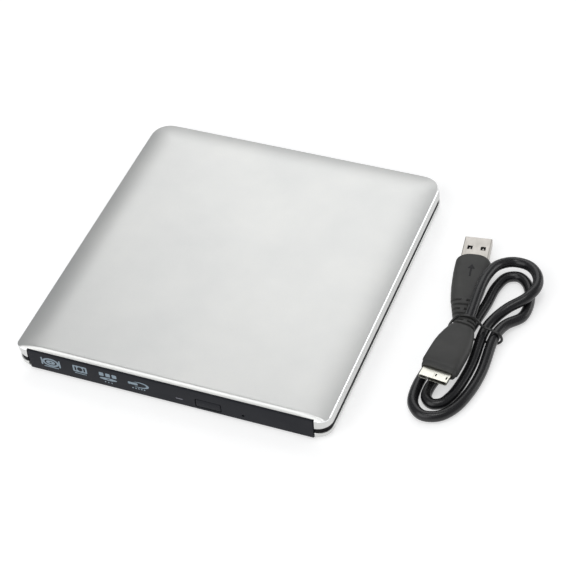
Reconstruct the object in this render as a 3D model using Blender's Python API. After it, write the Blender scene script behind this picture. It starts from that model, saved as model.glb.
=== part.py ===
"""External slim optical drive in an aluminium case, with its short USB cable lying beside it.

Run with: blender --background --python part.py
Sizes below are millimetres; MM turns them into Blender's metres when a mesh is made.
The origin is the centre of the case's footprint on the table. +X is the drive's right, the tray
opens towards -Y, and +Z is up.
"""

import math

import bmesh
import bpy
from mathutils import Matrix, Vector

MM = 0.001
GAP = 0.3                # clearance between neighbouring pieces

# Case
CASE_W = 141.0
CASE_D = 150.0
HALF_W = CASE_W / 2
FRONT = -CASE_D / 2
BACK = CASE_D / 2
FRONT_R = 6.5            # plan radius of the front corners at the band
BACK_R = 9.0
SHELL = 1.0              # wall of the covers
FOOT_H = 0.9             # how far the feet hold the case off the table
COVER_FLOOR = FOOT_H + 1.2
BAND_LOW = 4.5           # black middle frame, between the two covers
BAND_HIGH = 6.6
SEAM = 0.2               # gap between the band and each cover
CREASE_Z = 11.6          # where the side wall turns into the crowned top
CREASE_INSET = 0.7
TOP_Z = 13.3
CROWN_RUN = 13.6         # how far in the crown keeps rising
CROWN_POWER = 3.4        # lets the crown's foot follow the rounded corners
LIP_RUN = 1.6            # the front lip rises to the full height within this
CORNER_STEPS = 6
SIDE_STEPS = 9

# Feet and case screws
FOOT_X = 64.4
FOOT_Y = 64.5
FOOT_R = 3.8
SCREW_X = 65.9
SCREW_HEAD_R = 1.7
BOSS_R = 2.3

# Slim drive inside the case
DRIVE_HALF_W = 63.2
DRIVE_FRONT = -70.0
DRIVE_BACK = 56.0
PAN_LOW = 2.3
STEEL = 0.5
PAN_FLOOR = PAN_LOW + STEEL
LID_LOW = 11.0
LID_HIGH = 11.45

# Tray
TRAY_HALF_W = 61.8       # upper flange
TRAY_BODY_HALF_W = 57.2  # lower body, between the slide rails
TRAY_FRONT = -70.1
TRAY_BACK = 53.0
TRAY_LOW = 3.9
TRAY_HIGH = 10.4
FLANGE_LOW = 8.5
RECESS_FLOOR = 9.1
CAVITY_TOP = 8.3
CAVITY_HALF_W = 55.6
CAVITY_FRONT = -68.4
CAVITY_BACK = 51.6
DISC_X = 0.0
DISC_Y = -8.0            # spindle axis
DISC_RECESS_R = 60.4
SMALL_RECESS_R = 40.6

# Bezel, its button, lamp and pinhole
BEZEL_HALF_W = 64.0
BEZEL_LOW = 0.9
BEZEL_HIGH = 11.5
BEZEL_BACK = -70.3
BEZEL_WALL = 1.5
BUTTON_X = 18.0
BUTTON_W = 11.0
BUTTON_LOW = 2.7
BUTTON_HIGH = 6.9
LED_X = 5.0
LED_Z = 4.5
PINHOLE_X = 33.4
PINHOLE_Z = 3.9

# Rails: profile sizes measured from the drive's middle line
RAIL_FRONT = -66.0
RAIL_BACK = 52.0
GUIDE_FRONT = -68.0
GUIDE_BACK = 54.0

# Traverse, in its own frame: U runs from the spindle outwards along the pickup's path
TRAVERSE_ANGLE = math.radians(225)
FRAME_LOW = 4.7
FRAME_HIGH = 7.2
ROD_Z = 6.0
ROD_R = 0.9
MAIN_ROD_V = -8.0
SUB_ROD_V = 12.3
SCREW_V = -13.0
LENS_U = 24.0            # lens centre with the pickup parked next to the spindle
HUB_R = 7.35
TURNTABLE_R = 14.0
DISC_PLANE = 9.35

# Rear electronics
USB_X = -38.0
BOARD_LOW = 3.2
BOARD_HIGH = 4.2
SATA_LEFT = 28.0
SATA_RIGHT = 50.0

# Latch, held released: turned on by LATCH_TURN, its hook catches the pin
LATCH_PIVOT = (-27.0, 36.0)
LATCH_PIN = (-32.0, 47.0)
LATCH_TURN = math.radians(12.0)
PLUNGER_X = -45.25
PLUNGER_Y = 42.0
PLUNGER_Z = 6.0

# Eject pusher at the tray's rear
PUSHER_X = -10.0
PUSHER_Z = 6.2

# USB cable
CABLE_D = 4.6
A_PLUG_AT = (96.0, 38.0, 4.0)      # where the metal shell meets the moulded grip
A_PLUG_TURN = math.radians(8.0)
A_GRIP_LENGTH = 37.3
MICRO_PLUG_AT = (102.5, -33.5, 9.6)
MICRO_PLUG_TURN = math.radians(174.0)
MICRO_GRIP_LENGTH = 31.7
TIE_R = 0.55

# The cable's centre line from the micro-B plug's strain relief to the A plug's, chosen by hand.
CABLE_ROUTE = (
    (105.9, -1.3, 9.6),
    (105.1, 17.0, 10.0),
    (105.6, 26.0, 9.3),
    (107.8, 34.0, 7.7),
    (112.8, 39.0, 6.2),
    (119.6, 38.8, 6.3),
    (124.9, 33.8, 7.2),
    (127.0, 26.6, 7.6),
    (124.4, 19.2, 7.1),
    (118.2, 13.0, 5.2),
    (114.2, 6.0, 4.1),
    (112.4, -1.5, 3.9),
    (112.6, -20.0, 2.5),
    (111.2, -33.0, 2.4),
    (109.6, -39.0, 2.4),
    (107.2, -43.2, 2.4),
    (103.6, -44.6, 2.4),
    (100.5, -42.3, 2.4),
    (99.9, -37.5, 2.4),
    (101.9, -27.0, 2.4),
    (106.6, -1.0, 3.9),
    (108.4, 14.0, 2.8),
    (109.3, 26.0, 2.4),
    (112.0, 32.8, 2.4),
    (116.8, 34.6, 2.4),
    (121.6, 31.2, 2.4),
    (125.0, 22.6, 2.4),
    (124.8, 12.5, 2.5),
    (119.6, 5.0, 3.5),
    (117.4, -3.0, 3.9),
    (117.6, -22.0, 2.4),
    (116.2, -34.0, 2.4),
    (113.0, -44.0, 2.4),
    (108.0, -50.0, 2.4),
    (101.5, -51.4, 2.4),
    (96.4, -47.0, 2.4),
    (94.9, -38.5, 2.4),
    (96.8, -22.0, 2.4),
    (101.0, -3.8, 3.9),
    (101.2, 0.5, 4.0),
)

# The tie's centre line, one closed loop round the bundle, chosen by hand.
TIE_ROUTE = (
    (97.7, -3.6, 4.2),
    (98.6, -3.8, 1.6),
    (101.2, -4.0, 0.62),
    (108.0, -4.2, 0.6),
    (114.2, -4.1, 0.6),
    (118.6, -3.9, 0.9),
    (120.6, -3.7, 3.3),
    (119.7, -3.4, 6.0),
    (116.4, -3.0, 7.2),
    (112.0, -2.9, 8.3),
    (110.1, -3.1, 11.2),
    (106.2, -3.4, 13.4),
    (101.9, -3.5, 12.2),
    (99.2, -3.5, 8.4),
)


# ---------------------------------------------------------------- materials

def make_material(name, colour, roughness, metallic=0.0):
    material = bpy.data.materials.new(name)
    material.use_nodes = True
    shader = material.node_tree.nodes["Principled BSDF"]
    shader.inputs["Base Color"].default_value = (*colour, 1.0)
    shader.inputs["Roughness"].default_value = roughness
    shader.inputs["Metallic"].default_value = metallic
    return material


# ---------------------------------------------------------------- mesh building

def circle(radius, z, segments, centre=(0.0, 0.0)):
    return [
        (
            centre[0] + radius * math.cos(2 * math.pi * i / segments),
            centre[1] + radius * math.sin(2 * math.pi * i / segments),
            z,
        )
        for i in range(segments)
    ]


def loft(rings, closed=False):
    """A skin through rings of equally many points, capped at both ends or closed on itself."""
    mesh = bmesh.new()
    loops = [[mesh.verts.new(point) for point in ring] for ring in rings]
    pairs = list(zip(loops, loops[1:]))
    if closed:
        pairs.append((loops[-1], loops[0]))
    else:
        mesh.faces.new(list(reversed(loops[0])))
        mesh.faces.new(loops[-1])
    for lower, upper in pairs:
        for i, vertex in enumerate(lower):
            j = (i + 1) % len(lower)
            mesh.faces.new((vertex, lower[j], upper[j], upper[i]))
    bmesh.ops.recalc_face_normals(mesh, faces=mesh.faces)
    return mesh


def prism(outline, low, high):
    """An (x, y) outline raised from z = low to z = high."""
    return loft([[(x, y, low) for x, y in outline], [(x, y, high) for x, y in outline]])


def bar(outline, start, end):
    """An (x, z) outline drawn along y."""
    return loft([[(x, start, z) for x, z in outline], [(x, end, z) for x, z in outline]])


def box(x_low, x_high, y_low, y_high, z_low, z_high):
    outline = [(x_low, y_low), (x_high, y_low), (x_high, y_high), (x_low, y_high)]
    return prism(outline, z_low, z_high)


def turned(profile, segments, centre=(0.0, 0.0)):
    """A solid of revolution about z from (radius, z) pairs, capped at both ends."""
    return loft([circle(radius, z, segments, centre) for radius, z in profile])


def mirrored(outline):
    """The outline on the other side of x = 0."""
    return [(-x, other) for x, other in reversed(outline)]


def rounded_outline(inset, front_r, back_r):
    """The case's plan outline moved in by inset, counter-clockwise from the front right corner."""
    half = HALF_W - inset
    front = FRONT + inset
    back = BACK - inset
    corners = [
        (half - front_r, front + front_r, front_r, -90),
        (half - back_r, back - back_r, back_r, 0),
        (back_r - half, back - back_r, back_r, 90),
        (front_r - half, front + front_r, front_r, 180),
    ]
    arcs = []
    for x, y, radius, start in corners:
        angles = [math.radians(start + 90 * i / CORNER_STEPS) for i in range(CORNER_STEPS + 1)]
        arcs.append([(x + radius * math.cos(a), y + radius * math.sin(a)) for a in angles])
    outline = []
    for arc, following in zip(arcs, arcs[1:] + arcs[:1]):
        outline += arc
        end = Vector(arc[-1])
        begin = Vector(following[0])
        steps = SIDE_STEPS + 1
        outline += [tuple(end.lerp(begin, i / steps)) for i in range(1, steps)]
    return outline


def case_ring(inset, z):
    front_r = max(FRONT_R - inset, 0.6)
    back_r = max(BACK_R - inset, 0.6)
    return [(x, y, z) for x, y in rounded_outline(inset, front_r, back_r)]


# ---------------------------------------------------------------- objects

def add_object(name, mesh, material, origin=(0.0, 0.0, 0.0), turn=(0.0, 0.0, 0.0), parent=None):
    """Turns a bmesh in millimetres into an object with its origin at the given point."""
    bmesh.ops.translate(mesh, verts=mesh.verts, vec=-Vector(origin))
    bmesh.ops.scale(mesh, verts=mesh.verts, vec=(MM, MM, MM))
    data = bpy.data.meshes.new(name)
    mesh.to_mesh(data)
    mesh.free()
    data.shade_smooth()
    data.set_sharp_from_angle(angle=math.radians(35))
    obj = bpy.data.objects.new(name, data)
    obj.location = Vector(origin) * MM
    obj.rotation_euler = turn
    obj.parent = parent
    bpy.context.collection.objects.link(obj)
    if material:
        data.materials.append(material)
    return obj


def add_rod(name, radius, length, start, turn, material, parent=None, segments=12):
    """A plain rod that begins at start and runs along its own z axis."""
    obj = add_object(name, turned([(radius, 0), (radius, length)], segments), material)
    obj.location = Vector(start) * MM
    obj.rotation_euler = turn
    obj.parent = parent
    return obj


def add_empty(name, at, turn):
    empty = bpy.data.objects.new(name, None)
    empty.location = Vector(at) * MM
    empty.rotation_euler = (0.0, 0.0, turn)
    bpy.context.collection.objects.link(empty)
    return empty


def combine(meshes):
    """Several bmeshes that don't touch, as one."""
    joined = bmesh.new()
    for mesh in meshes:
        data = bpy.data.meshes.new("joined")
        mesh.to_mesh(data)
        mesh.free()
        joined.from_mesh(data)
        bpy.data.meshes.remove(data)
    return joined


def apply_boolean(obj, operation, meshes):
    """Adds a Boolean with a hidden helper that holds the given bmeshes."""
    helper = add_object(f"{obj.name}_{operation.lower()}", combine(meshes), None, parent=obj.parent)
    helper.hide_render = True
    helper.display_type = "WIRE"
    modifier = obj.modifiers.new(helper.name, "BOOLEAN")
    modifier.operation = operation
    modifier.object = helper
    modifier.solver = "EXACT"


def cut(obj, *meshes):
    apply_boolean(obj, "DIFFERENCE", meshes)


def fuse(obj, *meshes):
    apply_boolean(obj, "UNION", meshes)


def soften(obj, width, segments=2):
    modifier = obj.modifiers.new("edge", "BEVEL")
    modifier.width = width * MM
    modifier.segments = segments
    modifier.limit_method = "ANGLE"


# ---------------------------------------------------------------- case

def crown_height(x, y):
    """Outer height of the top: crowned at left, right and back, with a short steep lip in front."""
    run = CROWN_RUN + CREASE_INSET
    beyond_x = max(0.0, abs(x) - (HALF_W - run))
    beyond_y = max(0.0, y - (BACK - run))
    beyond = (beyond_x ** CROWN_POWER + beyond_y ** CROWN_POWER) ** (1 / CROWN_POWER)
    inside = run - beyond - CREASE_INSET
    rise = 1 - (1 - min(max(inside / CROWN_RUN, 0.0), 1.0)) ** 2
    behind_lip = min(max((y - FRONT - CREASE_INSET) / LIP_RUN, 0.0), 1.0)
    lip = 1 - (1 - behind_lip) ** 2
    return CREASE_Z + (TOP_Z - CREASE_Z) * rise * lip


def crown_ring(inset):
    corner = max(2.8 - (inset - CREASE_INSET), 0.6)
    back_r = max(8.3 - (inset - CREASE_INSET), 0.6)
    return [(x, y, crown_height(x, y)) for x, y in rounded_outline(inset, corner, back_r)]


def wall_ring(inset, z, front_r, back_r):
    return [(x, y, z) for x, y in rounded_outline(inset, front_r, back_r)]


def mouth_cutter(half_w, low, high, back=-68.0):
    """The opening in the front of the case that the bezel fills."""
    return box(-half_w, half_w, FRONT - 1, back, low, high)


def add_top_cover(material):
    ceiling = TOP_Z - SHELL
    rings = [
        case_ring(14.8, ceiling),
        case_ring(6.0, 11.95),
        case_ring(SHELL + 0.3, 10.6),
        case_ring(SHELL, BAND_HIGH + SEAM),
        wall_ring(0.0, BAND_HIGH + SEAM, FRONT_R, BACK_R),
        wall_ring(0.35, CREASE_Z - 0.4, 4.0, 8.7),
    ]
    rings += [crown_ring(inset) for inset in (CREASE_INSET, 1.1, 1.6, 2.4, 4.2, 6.8, 10.3, 14.4)]
    cover = add_object("top_cover", loft(rings), material)
    cut(cover, mouth_cutter(BEZEL_HALF_W + 0.4, 0.0, BEZEL_HIGH + 0.25), socket_opening())


def add_bottom_cover(material):
    rings = [
        case_ring(1.9, FOOT_H),
        case_ring(0.9, FOOT_H + 0.3),
        case_ring(0.25, FOOT_H + 1.1),
        case_ring(0.0, FOOT_H + 2.1),
        case_ring(0.0, BAND_LOW - SEAM),
        case_ring(SHELL, BAND_LOW - SEAM),
        case_ring(SHELL + 0.3, COVER_FLOOR),
    ]
    cover = add_object("bottom_cover", loft(rings), material)
    cut(cover, mouth_cutter(BEZEL_HALF_W + 0.4, 0.0, 6.0, back=DRIVE_FRONT - 0.1))
    cut(cover, socket_opening())
    cut(cover, *[foot_recess(x, y) for x, y in corner_signs()])
    standoff = [(1.8, COVER_FLOOR - 0.3), (1.8, BOARD_LOW - 0.25)]
    fuse(cover, *[turned(standoff, 12, (x, 65.0)) for x in (-50, 50)])


def corner_signs():
    return [(-1, -1), (1, -1), (1, 1), (-1, 1)]


def foot_recess(side, end):
    """Shallow seat for a foot with the screw's hole in it."""
    foot = (side * FOOT_X, end * FOOT_Y)
    screw = (side * SCREW_X, end * FOOT_Y)
    return loft([
        circle(FOOT_R + 0.2, 0.4, 24, foot),
        circle(FOOT_R + 0.2, FOOT_H + 0.45, 24, foot),
        circle(1.1, FOOT_H + 0.45, 24, screw),
        circle(1.1, COVER_FLOOR + 0.4, 24, screw),
    ])


def socket_opening():
    return box(USB_X - 6.8, USB_X + 6.8, 71.0, BACK + 1, 4.15, 7.35)


def add_mid_frame(material):
    """Black frame: its rib is the band between the covers, its lips stand inside them."""
    lip_out = 1.6
    lip_in = 2.6
    profile = [
        (0.5, BAND_LOW), (0.5, BAND_HIGH), (lip_out, BAND_HIGH), (lip_out, 9.6),
        (lip_in, 9.6), (lip_in, 2.4), (lip_out, 2.4), (lip_out, BAND_LOW),
    ]
    frame = add_object("mid_frame", loft([case_ring(*p) for p in profile], closed=True), material)
    places = [(side * SCREW_X, end * FOOT_Y) for side, end in corner_signs()]
    fuse(frame, *[turned([(BOSS_R, 2.4), (BOSS_R, 6.4)], 16, at) for at in places])
    cut(frame, *[turned([(1.0, 2.0), (1.0, 5.6)], 12, at) for at in places])
    cut(frame, mouth_cutter(BEZEL_HALF_W + 0.6, 0.0, 12.0))
    cut(frame, socket_opening())


def add_feet_and_screws(rubber, steel):
    for number, (side, end) in enumerate(corner_signs(), start=1):
        foot = (side * FOOT_X, end * FOOT_Y)
        screw = (side * SCREW_X, end * FOOT_Y)
        rings = [
            circle(FOOT_R - 0.3, 0.0, 24, foot),
            circle(FOOT_R, 0.3, 24, foot),
            circle(FOOT_R, 1.2, 24, foot),
            circle(SCREW_HEAD_R + 0.2, 1.2, 24, screw),
            circle(SCREW_HEAD_R + 0.2, 0.4, 24, screw),
        ]
        add_object(f"rubber_foot_{number}", loft(rings), rubber)
        profile = [(1.4, 0.6), (SCREW_HEAD_R, 0.8), (SCREW_HEAD_R, 1.15), (0.8, 1.15), (0.8, 5.0)]
        add_object(f"case_screw_{number}", turned(profile, 12, screw), steel)


# ---------------------------------------------------------------- rear electronics

def add_rear_electronics(board, metal, plastic, chip):
    outline = [(-62, 57.5), (62, 57.5), (62, 68), (58, 72), (-58, 72), (-62, 68)]
    add_object("bridge_board", prism(outline, BOARD_LOW, BOARD_HIGH), board)
    add_object("bridge_chip", box(-10, -2, 61, 69, BOARD_HIGH + 0.2, 5.3), chip)
    add_usb_socket(metal)
    plug_low = BOARD_HIGH + GAP
    add_object("sata_connector", box(SATA_LEFT, SATA_RIGHT, 57.8, 62.8, plug_low, 8.0), plastic)
    add_object("drive_board", box(24, 55.5, 37, 55.2, 3.3, 4.0), board)
    add_object("sata_plug", box(SATA_LEFT, SATA_RIGHT, 50.5, 57.5, 4.25, 7.9), plastic)


def add_usb_socket(metal):
    """Micro-B receptacle: a shell with a wide and a narrow mouth and a tongue in each."""
    low = BOARD_HIGH + 0.2
    high = 7.1
    socket = add_object("usb_socket", box(USB_X - 6.3, USB_X + 6.3, 67.5, 74.2, low, high), metal)
    mouths = [(-5.9, -2.3), (-1.8, 5.9)]
    mouth_cutters = [
        box(USB_X + left, USB_X + right, 69.0, 75.0, low + 0.4, high - 0.4) for left, right in mouths
    ]
    cut(socket, *mouth_cutters)
    tongues = [
        box(USB_X + left + 0.6, USB_X + right - 0.6, 68.5, 73.4, 5.5, 6.1) for left, right in mouths
    ]
    fuse(socket, *tongues)


# ---------------------------------------------------------------- drive body

def add_drive_body(steel, plastic):
    add_chassis(steel)
    add_object(
        "drive_top_plate",
        box(-DRIVE_HALF_W, DRIVE_HALF_W, DRIVE_FRONT, DRIVE_BACK, LID_LOW, LID_HIGH),
        steel,
    )
    pin = turned([(1.2, PAN_FLOOR + 0.2), (1.2, 5.8), (0.9, 6.2)], 16, LATCH_PIN)
    add_object("latch_pin", pin, steel)
    add_rails(steel, plastic)


def add_chassis(steel):
    high = LID_LOW - 0.1
    outer = box(-DRIVE_HALF_W, DRIVE_HALF_W, DRIVE_FRONT, DRIVE_BACK, PAN_LOW, high)
    chassis = add_object("drive_chassis", outer, steel)
    inner_half = DRIVE_HALF_W - STEEL
    inner_back = DRIVE_BACK - STEEL
    cut(chassis, box(-inner_half, inner_half, DRIVE_FRONT - 1, inner_back, PAN_FLOOR, high + 1))
    cut(chassis, box(SATA_LEFT - 0.5, SATA_RIGHT + 0.5, 55.0, 57.0, 4.0, 8.3))


def add_rails(steel, plastic):
    """Each side has a fixed C guide, and a rail that runs half way with the tray."""
    guide = [
        (62.4, 3.1), (62.4, 8.3), (59.9, 8.3), (59.9, 7.5),
        (61.4, 7.5), (61.4, 3.9), (59.9, 3.9), (59.9, 3.1),
    ]
    rail = [
        (61.1, 4.2), (61.1, 7.2), (57.7, 7.2), (57.7, 6.65),
        (59.3, 6.65), (59.3, 4.75), (57.7, 4.75), (57.7, 4.2),
    ]
    for side, turn_over in (("right", False), ("left", True)):
        guide_outline = mirrored(guide) if turn_over else guide
        rail_outline = mirrored(rail) if turn_over else rail
        add_object(f"rail_guide_{side}", bar(guide_outline, GUIDE_FRONT, GUIDE_BACK), plastic)
        add_object(f"slide_rail_{side}", bar(rail_outline, RAIL_FRONT, RAIL_BACK), steel)


# ---------------------------------------------------------------- tray

def add_tray(material):
    """Moulded tray: a wide flange over a narrower body, hollow below for the mechanism."""
    right = [
        (TRAY_BODY_HALF_W, TRAY_LOW), (TRAY_BODY_HALF_W, 5.0), (59.0, 5.0), (59.0, 6.4),
        (TRAY_BODY_HALF_W, 6.4), (TRAY_BODY_HALF_W, FLANGE_LOW), (TRAY_HALF_W, FLANGE_LOW),
        (TRAY_HALF_W, TRAY_HIGH),
    ]
    tray = add_object("tray", bar(right + mirrored(right), TRAY_FRONT, TRAY_BACK), material)
    disc = (DISC_X, DISC_Y)
    cut(tray, loft([
        circle(SMALL_RECESS_R, RECESS_FLOOR - 0.35, 96, disc),
        circle(SMALL_RECESS_R, RECESS_FLOOR, 96, disc),
        circle(DISC_RECESS_R, RECESS_FLOOR, 96, disc),
        circle(DISC_RECESS_R, TRAY_HIGH + 1, 96, disc),
    ]))
    cut(tray, box(-CAVITY_HALF_W, CAVITY_HALF_W, CAVITY_FRONT, CAVITY_BACK, 3.0, CAVITY_TOP))
    cut(tray, box(22, 60, 36, TRAY_BACK + 1, 3.0, FLANGE_LOW))
    window = prism(cover_outline(GAP), 8.0, 9.8)
    window.transform(Matrix.Rotation(TRAVERSE_ANGLE, 4, "Z"))
    bmesh.ops.translate(window, verts=window.verts, vec=(DISC_X, DISC_Y, 0))
    cut(tray, window)
    pin_x = LATCH_PIN[0]
    cut(
        tray,
        box(pin_x - 2.6, pin_x + 2.6, CAVITY_BACK - 1, TRAY_BACK + 1, 3.0, 6.8),
        box(15, 21, TRAY_FRONT - 1, CAVITY_FRONT + 1, 3.0, 7.8),
        pusher_bore(),
    )
    fuse(
        tray,
        turned([(1.0, 4.4), (1.0, CAVITY_TOP + 0.3)], 12, LATCH_PIVOT),
        box(PUSHER_X - 2.5, PUSHER_X + 2.5, 37.5, 40.0, 4.4, CAVITY_TOP + 0.3),
    )


def pusher_bore():
    ring = [(PUSHER_X + x, y, PUSHER_Z + z) for x, z, y in circle(2.0, CAVITY_BACK - 1, 16)]
    return loft([ring, [(x, TRAY_BACK + 1, z) for x, y, z in ring]])


def cover_outline(grow):
    """Window in the disc recess, in the traverse's frame; its cover is the same with no growth."""
    near = 16.7 + grow
    side = 16.7 + grow
    far = 59.7 + grow
    return [
        (-near, -13.7), (-13.7, -side), (44, -side), (far, -6),
        (far, 6), (44, side), (-13.7, side), (-near, 13.7),
    ]


def add_bezel(material):
    outer = box(-BEZEL_HALF_W, BEZEL_HALF_W, FRONT, BEZEL_BACK, BEZEL_LOW, BEZEL_HIGH)
    bezel = add_object("tray_bezel", outer, material)
    soften(bezel, 0.3)
    inner_half = BEZEL_HALF_W - BEZEL_WALL
    inner = box(
        -inner_half, inner_half, FRONT + BEZEL_WALL, BEZEL_BACK + 1,
        BEZEL_LOW + 1.4, BEZEL_HIGH - 1.4,
    )
    cut(bezel, inner)
    half_button = BUTTON_W / 2 + 0.25
    pinhole = [(PINHOLE_X + x, FRONT - 1, PINHOLE_Z + z) for x, z, _ in circle(0.6, 0, 16)]
    cut(
        bezel,
        box(BUTTON_X - half_button, BUTTON_X + half_button, FRONT - 1, FRONT + 2,
            BUTTON_LOW - 0.25, BUTTON_HIGH + 0.25),
        box(LED_X - 1.9, LED_X + 1.9, FRONT - 1, FRONT + 2, LED_Z - 0.5, LED_Z + 0.5),
        loft([pinhole, [(x, FRONT + 2, z) for x, _, z in pinhole]]),
    )


def add_front_controls(plastic, lamp, board, metal):
    left = BUTTON_X - BUTTON_W / 2
    right = BUTTON_X + BUTTON_W / 2
    face = box(left, right, FRONT, FRONT + 2.2, BUTTON_LOW, BUTTON_HIGH)
    button = add_object("eject_button", face, plastic, origin=(BUTTON_X, FRONT, 4.8))
    soften(button, 0.25)
    fuse(button, box(16.5, 19.5, FRONT + 2.0, FRONT + 3.1, 4.4, 6.4))
    lamp_body = box(LED_X - 1.7, LED_X + 1.7, FRONT, FRONT + 4.2, LED_Z - 0.3, LED_Z + 0.3)
    add_object("led_light_pipe", lamp_body, lamp)
    add_object("eject_switch", box(15.6, 20.4, FRONT + 4.0, -66.5, 5.4, 7.4), metal)
    outline = [(12, -67.8), (54, -67.8), (54, 2), (25, 2), (25, -34), (12, -34)]
    add_object("tray_board", prism(outline, 4.5, 5.2), board)


def add_tray_bottom_cover(steel):
    sheet = box(-55.3, 55.3, -68.1, 27, TRAY_LOW, TRAY_LOW + 0.3)
    plate = add_object("tray_bottom_cover", sheet, steel)
    cut(plate, box(29.5, 42.5, -5.0, -1.5, 3.0, 5.0))


def add_latch(steel, coil):
    pivot_x, pivot_y = LATCH_PIVOT
    outline = [
        (-28.6, 33.4), (-25.2, 33.4), (-24.8, 38.0), (-25.6, 49.4), (-26.8, 50.6),
        (-31.6, 50.6), (-32.6, 49.6), (-32.6, 48.9), (-29.6, 48.9), (-29.6, 34.6),
    ]
    lever = add_object(
        "latch_lever", prism(outline, 4.6, 5.8), steel,
        origin=(pivot_x, pivot_y, 5.2), turn=(0.0, 0.0, -LATCH_TURN),
    )
    cut(lever, turned([(1.25, 4.0), (1.25, 6.5)], 12, LATCH_PIVOT))
    solenoid = add_object("latch_solenoid", box(-51, -39, 39.4, 44.6, 4.6, 7.4), coil)
    soften(solenoid, 0.4)
    bore = [(-47.0, PLUNGER_Y + y, PLUNGER_Z + z) for y, z, _ in circle(1.15, 0, 12)]
    cut(solenoid, loft([bore, [(-38.0, y, z) for _, y, z in bore]]))
    profile = [(0.85, 0), (0.85, 15.6), (1.4, 15.6), (1.4, 16.6)]
    plunger = add_object("solenoid_plunger", turned(profile, 12), steel)
    plunger.location = Vector((PLUNGER_X, PLUNGER_Y, PLUNGER_Z)) * MM
    plunger.rotation_euler = (0.0, math.radians(90), 0.0)


def add_eject_pusher(plastic, steel):
    """A sprung pin that starts the tray off when the latch lets go."""
    along_y = (math.radians(-90), 0.0, 0.0)
    profile = [(0.8, 0), (0.8, 9.6), (1.6, 9.6), (1.6, 14.2), (1.2, 14.8)]
    pusher = add_object("eject_pusher", turned(profile, 16), plastic)
    pusher.location = Vector((PUSHER_X, 40.3, PUSHER_Z)) * MM
    pusher.rotation_euler = along_y
    turns = 5
    steps = 12
    length = 8.6
    helix = []
    for i in range(turns * steps + 1):
        angle = 2 * math.pi * i / steps
        along = 40.9 + length * i / (turns * steps)
        point = (PUSHER_X + 1.35 * math.cos(angle), along, PUSHER_Z + 1.35 * math.sin(angle))
        helix.append(point)
    add_tube("eject_spring", helix, 0.22, steel, sides=0)


# ---------------------------------------------------------------- traverse, in its own frame

def add_traverse(root, grey, steel, black, glass, holder, rubber):
    add_traverse_frame(root, grey)
    add_dampers(root, rubber)
    plate = add_object("traverse_cover", prism(cover_outline(0.0), 8.4, 8.8), black, parent=root)
    cut(plate, turned([(10.0, 8.0), (10.0, 9.2)], 48))
    cut(plate, box(5.0, 59.0, -3.4, 3.4, 8.0, 9.2))
    add_spindle(root, steel, black, grey)
    add_pickup(root, grey, steel, glass, holder)


def add_traverse_frame(root, grey):
    outline = [(-15, -17.5), (60, -17.5), (65, -12.5), (65, -4), (68, -4),
               (68, 4), (65, 4), (65, 12.5), (60, 17.5), (-15, 17.5)]
    frame = add_object("traverse_frame", prism(outline, FRAME_LOW, FRAME_HIGH), grey, parent=root)
    cut(frame, turned([(12.3, 4.0), (12.3, 8.0)], 48))
    cut(frame, box(13.5, 61.5, -16.6, 15.0, 4.0, 8.0))
    notches = []
    for v in (MAIN_ROD_V, SUB_ROD_V):
        notches.append(box(10.6, 14.0, v - 1.2, v + 1.2, 4.9, 8.0))
        notches.append(box(61.0, 63.2, v - 1.2, v + 1.2, 4.9, 8.0))
    cut(frame, *notches)
    cut(frame, *[turned([(1.8, 4.0), (1.8, 8.0)], 16, at) for at in damper_places()])


def damper_places():
    return [(-11.8, -14.2), (-11.8, 14.2), (65.0, 0.0)]


def add_dampers(root, rubber):
    profile = [(2.4, 4.4), (2.4, 4.6), (1.5, 4.6), (1.5, 7.35), (2.4, 7.35), (2.4, 7.7)]
    for number, at in enumerate(damper_places(), start=1):
        add_object(f"rubber_damper_{number}", turned(profile, 16, at), rubber, parent=root)


def add_spindle(root, steel, black, grey):
    base = [(11.8, 4.7), (11.8, 5.25), (3.0, 5.25), (3.0, 5.45)]
    add_object("spindle_motor", turned(base, 48), steel, parent=root)
    hub_profile = [
        (11.0, 5.7), (11.4, 6.0), (11.4, 7.9), (11.1, 8.15), (9.0, 8.15), (9.0, 8.95),
        (TURNTABLE_R, 8.95), (TURNTABLE_R, DISC_PLANE), (HUB_R, DISC_PLANE), (HUB_R, 10.3),
        (6.5, 10.8), (2.0, 10.8), (2.0, 10.4),
    ]
    hub = add_object("spindle_hub", turned(hub_profile, 48), black, parent=root)
    slots = []
    for number in range(3):
        angle = math.radians(120 * number + 60)
        slot = box(5.0, 8.0, -1.5, 1.5, 9.55, 10.3)
        slot.transform(Matrix.Rotation(angle, 4, "Z"))
        slots.append(slot)
        claw = add_object(f"disc_claw_{number + 1}", box(5.9, 7.55, -1.3, 1.3, 9.7, 10.15), grey)
        claw.rotation_euler = (0.0, 0.0, angle)
        claw.parent = root
        soften(claw, 0.15)
    cut(hub, *slots)


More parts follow.
